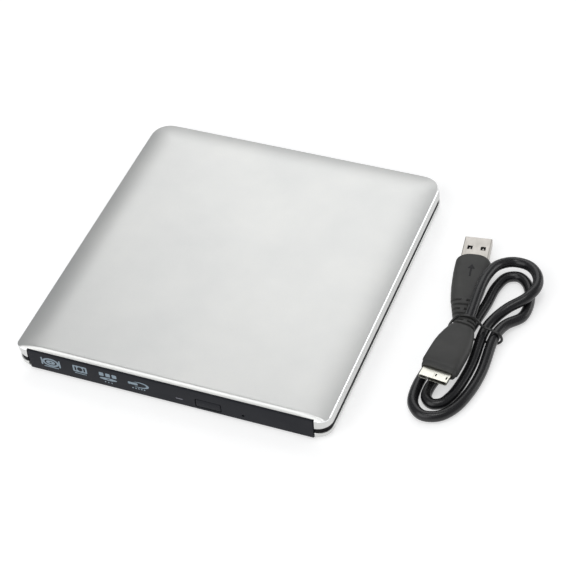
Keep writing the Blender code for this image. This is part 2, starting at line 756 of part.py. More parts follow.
def add_pickup(root, grey, steel, glass, holder):
    along_u = (0.0, math.radians(90), 0.0)
    for name, v in (("guide_rod_main", MAIN_ROD_V), ("guide_rod_sub", SUB_ROD_V)):
        add_rod(name, ROD_R, 51.6, (11.1, v, ROD_Z), along_u, steel, root)
    add_rod("feed_screw", 1.1, 39.8, (21.2, SCREW_V, ROD_Z), along_u, steel, root)
    motor = add_object("feed_motor", box(13.8, 20.8, -16.2, -10.2, 4.5, 7.9), steel, parent=root)
    soften(motor, 1.2, 3)
    sled = add_object("pickup_sled", box(15.3, 28.6, -9.8, 14.0, 4.45, 7.7), grey, parent=root)
    fuse(sled, box(23.5, 26.5, -14.4, -9.5, 7.3, 7.7))
    bore = [(14.0, MAIN_ROD_V + v, ROD_Z + z) for v, z, _ in circle(1.15, 0, 16)]
    cut(sled, loft([bore, [(30.0, v, z) for _, v, z in bore]]))
    cut(sled, box(14.0, 30.0, 11.1, 13.5, 4.9, 7.1))
    cut(sled, box(18.6, 28.0, -5.2, 5.2, 6.3, 8.5))
    body = box(LENS_U - 3.6, LENS_U + 3.6, -4.2, 4.2, 6.8, 8.0)
    actuator = add_object("lens_holder", body, holder, parent=root)
    soften(actuator, 0.3)
    lens = turned([(1.2, 7.9), (2.1, 8.1), (2.1, 8.35), (1.6, 8.6), (0.8, 8.75)], 24, (LENS_U, 0.0))
    cut(actuator, turned([(1.6, 6.0), (2.3, 7.7), (2.3, 9.0)], 24, (LENS_U, 0.0)))
    add_object("objective_lens", lens, glass, parent=root)


# ---------------------------------------------------------------- flex cable

def add_flex_cable(material):
    """Flat cable: forward along the pan, one fold, back under the tray and up to its board."""
    low = 3.03
    high = 3.63
    fold = -66.4
    path = [(45.0, low), (fold, low)]
    radius = (high - low) / 2
    for step in range(1, 6):
        angle = math.radians(-90 - 30 * step)
        path.append((fold + radius * math.cos(angle), low + radius + radius * math.sin(angle)))
    path += [(fold, high), (-4.2, high), (-3.6, high + 0.15), (-3.3, high + 0.4), (-3.3, 4.3)]
    outline = ribbon_outline(path, 0.14)
    rings = [[(x, y, z) for y, z in outline] for x in (30.0, 42.0)]
    add_object("flex_cable", loft(rings), material)


def ribbon_outline(path, thickness):
    """The outline of a thin strip along a path of 2D points."""
    upper = []
    lower = []
    for i, point in enumerate(path):
        before = Vector(path[max(i - 1, 0)])
        after = Vector(path[min(i + 1, len(path) - 1)])
        along = (after - before).normalized()
        across = Vector((-along.y, along.x)) * thickness / 2
        upper.append(tuple(Vector(point) + across))
        lower.append(tuple(Vector(point) - across))
    return upper + list(reversed(lower))


# ---------------------------------------------------------------- USB cable

def smooth_path(points, per_span, cyclic=False):
    """Centripetal Catmull-Rom curve through the points."""
    points = [Vector(point) for point in points]
    if cyclic:
        spans = len(points)
        padded = [points[-1], *points, points[0], points[1]]
    else:
        spans = len(points) - 1
        padded = [2 * points[0] - points[1], *points, 2 * points[-1] - points[-2]]
    path = []
    for span in range(spans):
        p = padded[span:span + 4]
        t = [0.0]
        for near, far in zip(p, p[1:]):
            t.append(t[-1] + math.sqrt((far - near).length))
        for step in range(per_span):
            s = t[1] + (t[2] - t[1]) * step / per_span
            a1 = blend(p[0], p[1], t[0], t[1], s)
            a2 = blend(p[1], p[2], t[1], t[2], s)
            a3 = blend(p[2], p[3], t[2], t[3], s)
            b1 = blend(a1, a2, t[0], t[2], s)
            b2 = blend(a2, a3, t[1], t[3], s)
            path.append(blend(b1, b2, t[1], t[2], s))
    if not cyclic:
        path.append(points[-1])
    return path


def blend(a, b, start, end, s):
    return a + (b - a) * ((s - start) / (end - start))


def add_tube(name, path, radius, material, sides=2, cyclic=False):
    """A round cord as a poly curve with a bevel."""
    curve = bpy.data.curves.new(name, "CURVE")
    curve.dimensions = "3D"
    curve.bevel_depth = radius * MM
    curve.bevel_resolution = sides
    curve.use_fill_caps = not cyclic
    spline = curve.splines.new("POLY")
    spline.points.add(len(path) - 1)
    for target, point in zip(spline.points, path):
        target.co = (*(Vector(point) * MM), 1.0)
    spline.use_cyclic_u = cyclic
    spline.use_smooth = True
    curve.materials.append(material)
    obj = bpy.data.objects.new(name, curve)
    bpy.context.collection.objects.link(obj)
    return obj


def section(y, half_w, half_t, power, points=20):
    """A rounded-box section across a plug, as a superellipse."""
    ring = []
    for i in range(points):
        angle = 2 * math.pi * i / points
        c = math.cos(angle)
        s = math.sin(angle)
        x = half_w * math.copysign(abs(c) ** (2 / power), c)
        z = half_t * math.copysign(abs(s) ** (2 / power), s)
        ring.append((x, y, z))
    return ring


def grip(body, rib_start, end, start_size, end_size, ribs):
    """A moulded grip: body sections, then a ribbed strain relief that tapers to the cable."""
    rings = [section(-s, w, t, power) for s, w, t, power in body]
    pitch = (end - rib_start) / ribs
    for rib in range(ribs):
        for share, depth in ((0.0, 0.0), (0.62, 0.0), (0.66, 0.6), (0.97, 0.6)):
            s = rib_start + pitch * (rib + share)
            k = (s - rib_start) / (end - rib_start)
            half_w = start_size[0] + (end_size[0] - start_size[0]) * k - depth
            half_t = start_size[1] + (end_size[1] - start_size[1]) * k - depth
            rings.append(section(-s, half_w, half_t, 2.6))
    return loft(list(reversed(rings)))


def add_a_plug(rubber, metal):
    root = add_empty("usb_a_plug", A_PLUG_AT, A_PLUG_TURN)
    body = [(0.0, 7.2, 3.4, 4.0), (0.9, 7.6, 3.8, 4.0), (10.0, 7.7, 3.8, 3.5),
            (19.0, 7.1, 3.8, 3.2), (27.0, 6.0, 3.7, 2.9)]
    mesh = grip(body, 27.4, A_GRIP_LENGTH, (5.8, 3.6), (3.3, 3.0), 4)
    add_object("usb_a_grip", mesh, rubber, parent=root)
    shell = add_object("usb_a_shell", box(-6.0, 6.0, 0.2, 11.2, -2.25, 2.25), metal, parent=root)
    cut(shell, box(-5.7, 5.7, 2.5, 12.0, -1.95, 0.0))
    cut(shell, box(-5.7, 5.7, 2.5, 12.0, 0.5, 1.95), *[shell_hole(side) for side in (-1, 1)])


def shell_hole(side):
    return box(side * 2.9 - 1.1, side * 2.9 + 1.1, 3.6, 5.8, 2.05, 3.0)


def add_micro_plug(rubber, metal):
    root = add_empty("micro_b_plug", MICRO_PLUG_AT, MICRO_PLUG_TURN)
    body = [(0.0, 7.2, 3.3, 4.0), (0.9, 7.8, 3.8, 4.0), (13.5, 7.8, 3.8, 3.6),
            (20.5, 6.9, 3.6, 3.2), (25.2, 5.4, 3.2, 2.8)]
    mesh = grip(body, 25.6, MICRO_GRIP_LENGTH, (5.1, 3.2), (3.4, 2.9), 3)
    add_object("micro_b_grip", mesh, rubber, parent=root)
    outline = [
        (-6.1, -0.4), (-5.4, -1.1), (1.6, -1.1), (2.3, -0.5), (2.5, -0.5), (3.1, -1.1),
        (5.5, -1.1), (6.1, -0.5), (6.1, 1.1), (2.7, 1.1), (2.7, 0.6), (2.2, 0.6), (2.2, 1.1),
        (-6.1, 1.1),
    ]
    add_object("micro_b_shell", bar(outline, 0.2, 4.8), metal, parent=root)


def add_cable(rubber, tie):
    add_tube("usb_cable", smooth_path(CABLE_ROUTE, 2), CABLE_D / 2, rubber)
    add_tube("cable_tie", smooth_path(TIE_ROUTE, 3, cyclic=True), TIE_R, tie, sides=1, cyclic=True)


# ---------------------------------------------------------------- the whole object

def main():
    for obj in list(bpy.data.objects):
        bpy.data.objects.remove(obj, do_unlink=True)

    silver = make_material("satin_aluminium", (0.62, 0.63, 0.64), 0.38, 0.85)
    bezel = make_material("charcoal_plastic", (0.030, 0.031, 0.036), 0.45)
    black = make_material("black_plastic", (0.014, 0.014, 0.016), 0.5)
    rubber = make_material("black_rubber", (0.020, 0.020, 0.021), 0.7)
    cord = make_material("cord_jacket", (0.022, 0.022, 0.024), 0.5)
    steel = make_material("steel", (0.55, 0.55, 0.56), 0.35, 1.0)
    nickel = make_material("nickel", (0.70, 0.68, 0.64), 0.3, 1.0)
    grey = make_material("grey_moulding", (0.18, 0.18, 0.19), 0.5)
    board = make_material("circuit_board", (0.02, 0.12, 0.06), 0.5)
    coil = make_material("coil_copper", (0.45, 0.20, 0.09), 0.45, 0.6)
    glass = make_material("lens_glass", (0.25, 0.32, 0.45), 0.08)
    lamp = make_material("lamp_plastic", (0.10, 0.10, 0.13), 0.3)
    film = make_material("flex_film", (0.60, 0.38, 0.12), 0.35)

    add_top_cover(silver)
    add_bottom_cover(silver)
    add_mid_frame(black)
    add_feet_and_screws(rubber, steel)
    add_rear_electronics(board, nickel, black, black)
    add_drive_body(steel, grey)
    traverse = add_empty("traverse_axis", (DISC_X, DISC_Y, 0.0), TRAVERSE_ANGLE)
    add_tray(black)
    add_bezel(bezel)
    add_front_controls(bezel, lamp, board, nickel)
    add_tray_bottom_cover(steel)
    add_latch(steel, coil)
    add_eject_pusher(grey, steel)
    add_traverse(traverse, grey, steel, black, glass, black, rubber)
    add_flex_cable(film)
    add_a_plug(rubber, nickel)
    add_micro_plug(rubber, nickel)
    add_cable(cord, rubber)


main()
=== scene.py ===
# Looks of the external optical drive: fine meshes, materials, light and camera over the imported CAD.
# Sizes are millimetres in the CAD model's frame; MM turns them into metres when a piece is made.

import math

import bmesh
import bpy
from mathutils import Matrix, Vector


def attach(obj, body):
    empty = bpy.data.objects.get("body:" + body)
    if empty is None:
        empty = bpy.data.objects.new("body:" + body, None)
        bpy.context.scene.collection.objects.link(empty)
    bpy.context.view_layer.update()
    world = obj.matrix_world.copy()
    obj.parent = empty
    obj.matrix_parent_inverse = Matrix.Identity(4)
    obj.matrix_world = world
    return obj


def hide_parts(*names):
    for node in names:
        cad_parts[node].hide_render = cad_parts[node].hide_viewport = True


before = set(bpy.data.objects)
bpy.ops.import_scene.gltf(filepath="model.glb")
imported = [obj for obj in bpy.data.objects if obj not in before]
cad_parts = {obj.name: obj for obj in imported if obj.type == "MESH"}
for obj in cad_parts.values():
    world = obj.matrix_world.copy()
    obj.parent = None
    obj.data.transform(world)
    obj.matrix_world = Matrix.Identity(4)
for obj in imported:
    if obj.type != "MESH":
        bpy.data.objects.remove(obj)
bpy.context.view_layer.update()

MM = 0.001

# Camera
CAMERA_TARGET = (22.85, 1.32, 0.0)
CAMERA_AZIMUTH = math.radians(25.743)
CAMERA_ELEVATION = math.radians(45.5)
CAMERA_ROLL = math.radians(-6.176)
CAMERA_DISTANCE = 804.26
CAMERA_LENS = 115.74

# Case, as in the CAD model
HALF_W = 70.5
FRONT = -75.0
BACK = 75.0
FRONT_R = 6.5
BACK_R = 9.0
SHELL = 1.0
FOOT_H = 0.9
BAND_LOW = 4.5
BAND_HIGH = 6.6
SEAM = 0.2
CREASE_Z = 11.6
CREASE_INSET = 0.7
TOP_Z = 13.3
CROWN_RUN = 13.6
CROWN_POWER = 3.4        # lets the crown's foot follow the rounded corners
LIP_RUN = 1.6
CROWN_FRONT_R = 2.8      # plan radii of the crown's foot
CROWN_BACK_R = 8.3
LEAST_R = 0.6            # no corner gets sharper than this
CORNER_STEPS = 18
SIDE_STEPS = 30
MOUTH_HALF_W = 64.4
MOUTH_TOP = 11.75
MOUTH_BACK = -68.0
USB_X = -38.0
FOOT_X = 64.4
FOOT_Y = 64.5
FOOT_R = 3.8
SCREW_X = 65.9
SCREW_HEAD_R = 1.7
SCREW_R = 1.1
ROUND_STEPS = 48         # sides of the small round shapes

# Bezel and what sits in it
BEZEL_HALF_W = 64.0
BEZEL_LOW = 0.9
BEZEL_HIGH = 11.5
BEZEL_BACK = -70.3
BUTTON_X = 18.0
BUTTON_LOW = 2.7
BUTTON_HIGH = 6.9
BUTTON_W = 11.0
BUTTON_STEM_W = 3.0
LED_X = 5.0
LED_Z = 4.5
LED_HALF_W = 1.7
LED_HALF_H = 0.3
PINHOLE_X = 33.4
PINHOLE_Z = 3.9
PINHOLE_R = 0.6
PRINT = 0.02             # thickness of the printed symbols

# Tray and mechanism
DISC_X = 0.0
DISC_Y = -8.0
TRAVERSE_ANGLE = math.radians(225)
LENS_U = 24.0            # how far the lens is from the spindle
CLAWS = 3
HUB_R = 7.35

# USB cable
CABLE_D = 4.6
A_PLUG_AT = (96.0, 38.0, 4.0)
A_PLUG_TURN = math.radians(8.0)
A_GRIP_LENGTH = 37.3
A_SHELL_HALF_W = 6.0
A_SHELL_HALF_H = 2.25
A_HOLE_X = 2.9
MICRO_PLUG_AT = (102.5, -33.5, 9.6)
MICRO_PLUG_TURN = math.radians(174.0)
MICRO_GRIP_LENGTH = 31.7
TIE_R = 0.55

# Floor, in metres
FLOOR_HALF = 6.0

# The cable's centre line from the micro-B plug's strain relief to the A plug's, as in the CAD model.
CABLE_ROUTE = (
    (105.9, -1.3, 9.6),
    (105.1, 17.0, 10.0),
    (105.6, 26.0, 9.3),
    (107.8, 34.0, 7.7),
    (112.8, 39.0, 6.2),
    (119.6, 38.8, 6.3),
    (124.9, 33.8, 7.2),
    (127.0, 26.6, 7.6),
    (124.4, 19.2, 7.1),
    (118.2, 13.0, 5.2),
    (114.2, 6.0, 4.1),
    (112.4, -1.5, 3.9),
    (112.6, -20.0, 2.5),
    (111.2, -33.0, 2.4),
    (109.6, -39.0, 2.4),
    (107.2, -43.2, 2.4),
    (103.6, -44.6, 2.4),
    (100.5, -42.3, 2.4),
    (99.9, -37.5, 2.4),
    (101.9, -27.0, 2.4),
    (106.6, -1.0, 3.9),
    (108.4, 14.0, 2.8),
    (109.3, 26.0, 2.4),
    (112.0, 32.8, 2.4),
    (116.8, 34.6, 2.4),
    (121.6, 31.2, 2.4),
    (125.0, 22.6, 2.4),
    (124.8, 12.5, 2.5),
    (119.6, 5.0, 3.5),
    (117.4, -3.0, 3.9),
    (117.6, -22.0, 2.4),
    (116.2, -34.0, 2.4),
    (113.0, -44.0, 2.4),
    (108.0, -50.0, 2.4),
    (101.5, -51.4, 2.4),
    (96.4, -47.0, 2.4),
    (94.9, -38.5, 2.4),
    (96.8, -22.0, 2.4),
    (101.0, -3.8, 3.9),
    (101.2, 0.5, 4.0),
)

TIE_ROUTE = (
    (97.7, -3.6, 4.2),
    (98.6, -3.8, 1.6),
    (101.2, -4.0, 0.62),
    (108.0, -4.2, 0.6),
    (114.2, -4.1, 0.6),
    (118.6, -3.9, 0.9),
    (120.6, -3.7, 3.3),
    (119.7, -3.4, 6.0),
    (116.4, -3.0, 7.2),
    (112.0, -2.9, 8.3),
    (110.1, -3.1, 11.2),
    (106.2, -3.4, 13.4),
    (101.9, -3.5, 12.2),
    (99.2, -3.5, 8.4),
)


# ---------------------------------------------------------------- camera and light

def add_camera():
    a = CAMERA_AZIMUTH
    e = CAMERA_ELEVATION
    back = Vector((math.sin(a) * math.cos(e), -math.cos(a) * math.cos(e), math.sin(e)))
    right = Vector((math.cos(a), math.sin(a), 0.0))
    up = back.cross(right)
    rolled_right = right * math.cos(CAMERA_ROLL) + up * math.sin(CAMERA_ROLL)
    rolled_up = up * math.cos(CAMERA_ROLL) - right * math.sin(CAMERA_ROLL)
    data = bpy.data.cameras.new("camera")
    data.sensor_width = 36.0
    data.lens = CAMERA_LENS
    data.clip_start = 0.01
    data.clip_end = 50.0
    camera = bpy.data.objects.new("camera", data)
    turn = Matrix((rolled_right, rolled_up, back)).transposed()
    place = (Vector(CAMERA_TARGET) + back * CAMERA_DISTANCE) * MM
    camera.matrix_world = Matrix.Translation(place) @ turn.to_4x4()
    bpy.context.collection.objects.link(camera)
    bpy.context.scene.camera = camera


def add_panel(name, at, width, height, radiance, aim=(0.0, 0.0, 0.0)):
    """A soft rectangular light at a place in metres that faces the aim point."""
    data = bpy.data.lights.new(name, "AREA")
    data.shape = "RECTANGLE"
    data.size = width
    data.size_y = height
    data.energy = radiance * math.pi * width * height
    lamp = bpy.data.objects.new(name, data)
    lamp.location = at
    lamp.rotation_mode = "QUATERNION"
    lamp.rotation_quaternion = (Vector(aim) - Vector(at)).to_track_quat("-Z", "Y")
    bpy.context.collection.objects.link(lamp)


def add_studio():
    world = bpy.data.worlds.new("studio")
    bpy.context.scene.world = world
    world.use_nodes = True
    background = world.node_tree.nodes["Background"]
    background.inputs["Color"].default_value = (0.97, 0.985, 1.0, 1.0)
    background.inputs["Strength"].default_value = 0.34
    add_panel("panel_behind", (-0.4, 1.24, 1.14), 1.15, 1.05, 1.38)
    add_panel("panel_front", (-0.45, -1.1, 0.95), 1.4, 1.5, 1.6)
    add_panel("panel_above", (0.2, -0.1, 1.7), 0.7, 0.7, 3.5)
    add_panel("panel_right", (1.5, 1.2, 0.45), 1.3, 0.6, 2.0)
    bpy.context.scene.view_settings.view_transform = "Standard"


def add_floor():
    mesh = bmesh.new()
    corners = [(x * FLOOR_HALF, y * FLOOR_HALF, 0.0) for x, y in corner_signs()]
    mesh.faces.new([mesh.verts.new(corner) for corner in corners])
    data = bpy.data.meshes.new("floor")
    mesh.to_mesh(data)
    mesh.free()
    paint = surface("floor_paint", (0.62, 0.62, 0.62), (0.64, 0.64, 0.64), 0.9, 0.95)
    glow = paint.node_tree.nodes["Principled BSDF"]
    glow.inputs["Emission Color"].default_value = (1.0, 1.0, 1.0, 1.0)
    glow.inputs["Emission Strength"].default_value = 0.52
    data.materials.append(paint)
    floor = bpy.data.objects.new("floor", data)
    bpy.context.collection.objects.link(floor)


# ---------------------------------------------------------------- materials

def new_material(name, metallic=0.0, specular=0.5):
    material = bpy.data.materials.new(name)
    material.use_nodes = True
    shader = material.node_tree.nodes["Principled BSDF"]
    shader.inputs["Metallic"].default_value = metallic
    shader.inputs["Specular IOR Level"].default_value = specular
    return material


def noise(material, scale, detail=3.0, stretch=(1.0, 1.0, 1.0)):
    """Noise in object space, with scale in features per millimetre."""
    tree = material.node_tree
    place = tree.nodes.new("ShaderNodeTexCoord")
    mapping = tree.nodes.new("ShaderNodeMapping")
    mapping.inputs["Scale"].default_value = stretch
    texture = tree.nodes.new("ShaderNodeTexNoise")
    texture.inputs["Scale"].default_value = scale / MM
    texture.inputs["Detail"].default_value = detail
    tree.links.new(place.outputs["Object"], mapping.inputs["Vector"])
    tree.links.new(mapping.outputs["Vector"], texture.inputs["Vector"])
    return texture.outputs["Fac"]


def colour_from(material, factor, dark, light, start=0.3, end=0.7):
    tree = material.node_tree
    ramp = tree.nodes.new("ShaderNodeValToRGB")
    ramp.color_ramp.elements[0].position = start
    ramp.color_ramp.elements[0].color = (*dark, 1.0)
    ramp.color_ramp.elements[1].position = end
    ramp.color_ramp.elements[1].color = (*light, 1.0)
    tree.links.new(factor, ramp.inputs["Fac"])
    return ramp.outputs["Color"]


def set_colour(material, colour):
    shader = material.node_tree.nodes["Principled BSDF"]
    material.node_tree.links.new(colour, shader.inputs["Base Color"])


def set_roughness(material, factor, low, high):
    tree = material.node_tree
    shape = tree.nodes.new("ShaderNodeMapRange")
    shape.inputs["From Min"].default_value = 0.3
    shape.inputs["From Max"].default_value = 0.7
    shape.inputs["To Min"].default_value = low
    shape.inputs["To Max"].default_value = high
    tree.links.new(factor, shape.inputs["Value"])
    tree.links.new(shape.outputs["Result"], tree.nodes["Principled BSDF"].inputs["Roughness"])


def add_bump(material, factor, depth):
    """Adds relief of this depth in millimetres to whatever relief the material already has."""
    tree = material.node_tree
    shader = tree.nodes["Principled BSDF"]
    bump = tree.nodes.new("ShaderNodeBump")
    bump.inputs["Distance"].default_value = depth * MM
    tree.links.new(factor, bump.inputs["Height"])
    if shader.inputs["Normal"].is_linked:
        tree.links.new(shader.inputs["Normal"].links[0].from_socket, bump.inputs["Normal"])
    tree.links.new(bump.outputs["Normal"], shader.inputs["Normal"])


def surface(name, dark, light, smooth, rough, metallic=0.0, specular=0.5,
            blotch=0.05, grain=3.0, depth=0.005, stretch=(1.0, 1.0, 1.0)):
    """Blotched colour, uneven gloss and a fine grain, which every finish here is based on."""
    material = new_material(name, metallic, specular)
    patches = noise(material, blotch)
    fine = noise(material, grain, 2.0, stretch)
    set_colour(material, colour_from(material, patches, dark, light))
    set_roughness(material, fine, smooth, rough)
    add_bump(material, fine, depth)
    return material


def satin_aluminium():
    material = surface("satin_aluminium", (0.635, 0.64, 0.632), (0.675, 0.677, 0.664), 0.36, 0.46,
                       metallic=1.0, blotch=0.04, grain=2.2, depth=0.004)
    add_bump(material, noise(material, 0.5), 0.004)
    return material


# Metal for the crease strip: a lighter copy of the satin aluminium, whose lighter colour is a painted
# highlight; the chamfer under it is real.
def crease_painted_highlight():
    return surface("crease_painted_highlight", (0.86, 0.87, 0.88), (0.92, 0.93, 0.93), 0.24, 0.32,
                   metallic=1.0, grain=1.5, depth=0.0003)


def charcoal_plastic():
    return surface("charcoal_plastic", (0.012, 0.013, 0.017), (0.017, 0.018, 0.022), 0.42, 0.52,
                   specular=0.12, blotch=0.08, grain=4.0, depth=0.006)


def black_plastic():
    return surface("black_plastic", (0.008, 0.008, 0.010), (0.012, 0.012, 0.014), 0.4, 0.55,
                   specular=0.3, grain=3.5, depth=0.006)


def band_plastic():
    return surface("band_plastic", (0.002, 0.002, 0.003), (0.004, 0.004, 0.005), 0.45, 0.6,
                   specular=0.12, grain=3.5, depth=0.006)


def black_rubber():
    return surface("black_rubber", (0.016, 0.016, 0.017), (0.024, 0.024, 0.024), 0.6, 0.8,
                   specular=0.3, grain=2.5, depth=0.015)


def grip_rubber():
    return surface("grip_rubber", (0.044, 0.044, 0.043), (0.056, 0.056, 0.054), 0.45, 0.6,
                   specular=0.3, blotch=0.12, grain=4.0, depth=0.012)


def cord_jacket():
    material = surface("cord_jacket", (0.006, 0.006, 0.007), (0.010, 0.010, 0.012), 0.24, 0.34,
                       specular=0.45, blotch=0.06, grain=1.8, depth=0.006)
    add_bump(material, noise(material, 0.35), 0.01)
    return material


def tie_plastic():
    return surface("tie_plastic", (0.012, 0.012, 0.012), (0.018, 0.018, 0.018), 0.25, 0.4,
                   grain=2.0, depth=0.004)


def nickel():
    return surface("nickel", (0.43, 0.41, 0.38), (0.50, 0.475, 0.445), 0.28, 0.38,
                   metallic=1.0, blotch=0.15, grain=2.0, depth=0.003, stretch=(1.0, 0.2, 1.0))


def bright_tin():
    return surface("bright_tin", (0.78, 0.77, 0.69), (0.86, 0.85, 0.77), 0.3, 0.4,
                   metallic=1.0, blotch=0.2, grain=2.0, depth=0.003)


def steel():
    return surface("steel", (0.46, 0.47, 0.48), (0.56, 0.57, 0.58), 0.3, 0.42,
                   metallic=1.0, blotch=0.08, grain=1.6, depth=0.004, stretch=(0.15, 1.0, 1.0))


def grey_moulding():
    return surface("grey_moulding", (0.14, 0.14, 0.15), (0.20, 0.20, 0.21), 0.45, 0.6,
                   specular=0.4, grain=3.0, depth=0.006)


def tray_plastic():
    return surface("tray_plastic", (0.014, 0.014, 0.016), (0.021, 0.021, 0.024), 0.42, 0.6,
                   specular=0.4, blotch=0.06, grain=2.5, depth=0.012)


def circuit_board():
    """Green solder mask with paler copper runs under it."""
    material = new_material("circuit_board")
    tree = material.node_tree
    runs = noise(material, 0.25, 0.0, (1.0, 4.0, 1.0))
    set_colour(material, colour_from(material, runs, (0.008, 0.07, 0.035), (0.02, 0.16, 0.08), 0.48, 0.52))
    fine = noise(material, 1.5)
    set_roughness(material, fine, 0.3, 0.45)
    add_bump(material, runs, 0.02)
    tree.nodes["Principled BSDF"].inputs["Coat Weight"].default_value = 0.3
    return material


def coil_copper():
    return surface("coil_copper", (0.40, 0.16, 0.07), (0.58, 0.27, 0.12), 0.3, 0.5,
                   metallic=0.9, grain=3.0, depth=0.05, stretch=(3.0, 0.1, 0.1))


def lens_glass():
    material = surface("lens_glass", (0.10, 0.13, 0.22), (0.16, 0.20, 0.30), 0.03, 0.06,
                       specular=0.8, grain=0.5, depth=0.0005)
    material.node_tree.nodes["Principled BSDF"].inputs["Coat Weight"].default_value = 1.0
    return material


def lamp_plastic():
    return surface("lamp_plastic", (0.10, 0.10, 0.13), (0.14, 0.14, 0.17), 0.2, 0.3,
                   grain=1.5, depth=0.003)


def flex_film():
    """Amber film with darker conductors along its length."""
    material = new_material("flex_film", specular=0.4)
    lines = noise(material, 1.2, 0.0, (1.0, 0.01, 0.01))
    set_colour(material, colour_from(material, lines, (0.30, 0.15, 0.03), (0.55, 0.33, 0.10), 0.45, 0.55))
    set_roughness(material, noise(material, 1.0), 0.25, 0.4)
    add_bump(material, lines, 0.01)
    return material


def symbol_print():
    return surface("symbol_print", (0.20, 0.26, 0.31), (0.27, 0.33, 0.38), 0.5, 0.65,
                   specular=0.3, blotch=1.2, grain=5.0, depth=0.004)


# ---------------------------------------------------------------- mesh building

def circle(radius, z, segments, centre=(0.0, 0.0)):
    return [
        (
            centre[0] + radius * math.cos(2 * math.pi * i / segments),
            centre[1] + radius * math.sin(2 * math.pi * i / segments),
            z,
        )
        for i in range(segments)
    ]


def loft(rings, closed=False, bands=()):
    """A skin through rings of equally many points. bands numbers the strips in the second material."""
    mesh = bmesh.new()
    loops = [[mesh.verts.new(point) for point in ring] for ring in rings]
    pairs = list(zip(loops, loops[1:]))
    if closed:
        pairs.append((loops[-1], loops[0]))
    else:
        mesh.faces.new(list(reversed(loops[0])))
        mesh.faces.new(loops[-1])
    for number, (lower, upper) in enumerate(pairs):
        for i, vertex in enumerate(lower):
            j = (i + 1) % len(lower)
            face = mesh.faces.new((vertex, lower[j], upper[j], upper[i]))
            face.material_index = int(number in bands)
    bmesh.ops.recalc_face_normals(mesh, faces=mesh.faces)
    return mesh


def prism(outline, low, high):
    return loft([[(x, y, low) for x, y in outline], [(x, y, high) for x, y in outline]])


def bar(outline, start, end):
    """An (x, z) outline drawn along y."""
    return loft([[(x, start, z) for x, z in outline], [(x, end, z) for x, z in outline]])


def box(x_low, x_high, y_low, y_high, z_low, z_high):
    outline = [(x_low, y_low), (x_high, y_low), (x_high, y_high), (x_low, y_high)]
    return prism(outline, z_low, z_high)


def turned(profile, segments, centre=(0.0, 0.0)):
    return loft([circle(radius, z, segments, centre) for radius, z in profile])


def rounded_rectangle(x_low, x_high, y_low, y_high, radius, steps=6):
    """Corner-rounded outline, counter-clockwise."""
    corners = [(x_high, y_low, -90), (x_high, y_high, 0), (x_low, y_high, 90), (x_low, y_low, 180)]
    outline = []
    for x, y, start in corners:
        centre_x = x - math.copysign(radius, x - (x_low + x_high) / 2)
        centre_y = y - math.copysign(radius, y - (y_low + y_high) / 2)
        for step in range(steps + 1):
            angle = math.radians(start + 90 * step / steps)
            outline.append((centre_x + radius * math.cos(angle), centre_y + radius * math.sin(angle)))
    return outline


def rounded_outline(inset, front_r, back_r):
    """The case's plan outline moved in by inset, counter-clockwise from the front right corner."""
    half = HALF_W - inset
    front = FRONT + inset
    back = BACK - inset
    corners = [
        (half - front_r, front + front_r, front_r, -90),
        (half - back_r, back - back_r, back_r, 0),
        (back_r - half, back - back_r, back_r, 90),
        (front_r - half, front + front_r, front_r, 180),
    ]
    arcs = []
    for x, y, radius, start in corners:
        angles = [math.radians(start + 90 * i / CORNER_STEPS) for i in range(CORNER_STEPS + 1)]
        arcs.append([(x + radius * math.cos(a), y + radius * math.sin(a)) for a in angles])
    outline = []
    for arc, following in zip(arcs, arcs[1:] + arcs[:1]):
        outline += arc
        end = Vector(arc[-1])
        begin = Vector(following[0])
        steps = SIDE_STEPS + 1
        outline += [tuple(end.lerp(begin, i / steps)) for i in range(1, steps)]
    return outline


def case_ring(inset, z):
    front_r = max(FRONT_R - inset, LEAST_R)
    back_r = max(BACK_R - inset, LEAST_R)
    return [(x, y, z) for x, y in rounded_outline(inset, front_r, back_r)]


def wall_ring(inset, z, front_r, back_r):
    return [(x, y, z) for x, y in rounded_outline(inset, front_r, back_r)]


def combine(meshes):
    """Several bmeshes as one. They aren't welded and may overlap."""
    joined = bmesh.new()
    for mesh in meshes:
        data = bpy.data.meshes.new("joined")
        mesh.to_mesh(data)
        mesh.free()
        joined.from_mesh(data)
        bpy.data.meshes.remove(data)
    return joined


def cut_away(mesh, *cutters):
    """The bmesh less the cutters, through a Boolean on objects that are removed again."""
    names = ("body", "cutters")
    objects = []
    for name, part in zip(names, (mesh, combine(cutters))):
        data = bpy.data.meshes.new(name)
        part.to_mesh(data)
        part.free()
        obj = bpy.data.objects.new(name, data)
        bpy.context.collection.objects.link(obj)
        objects.append(obj)
    body, helper = objects
    for _ in range(2):
        body.data.materials.append(None)
    modifier = body.modifiers.new("cut", "BOOLEAN")
    modifier.operation = "DIFFERENCE"
    modifier.object = helper
    modifier.solver = "EXACT"
    modifier.use_self = True
    graph = bpy.context.evaluated_depsgraph_get()
    result = bmesh.new()
    result.from_mesh(body.evaluated_get(graph).to_mesh())
    for obj in objects:
        data = obj.data
        bpy.data.objects.remove(obj)
        bpy.data.meshes.remove(data)
    return result


def placed(mesh, at, turn):
    """Turns a bmesh about z and moves it to a point."""
    mesh.transform(Matrix.Translation(at) @ Matrix.Rotation(turn, 4, "Z"))
    return mesh


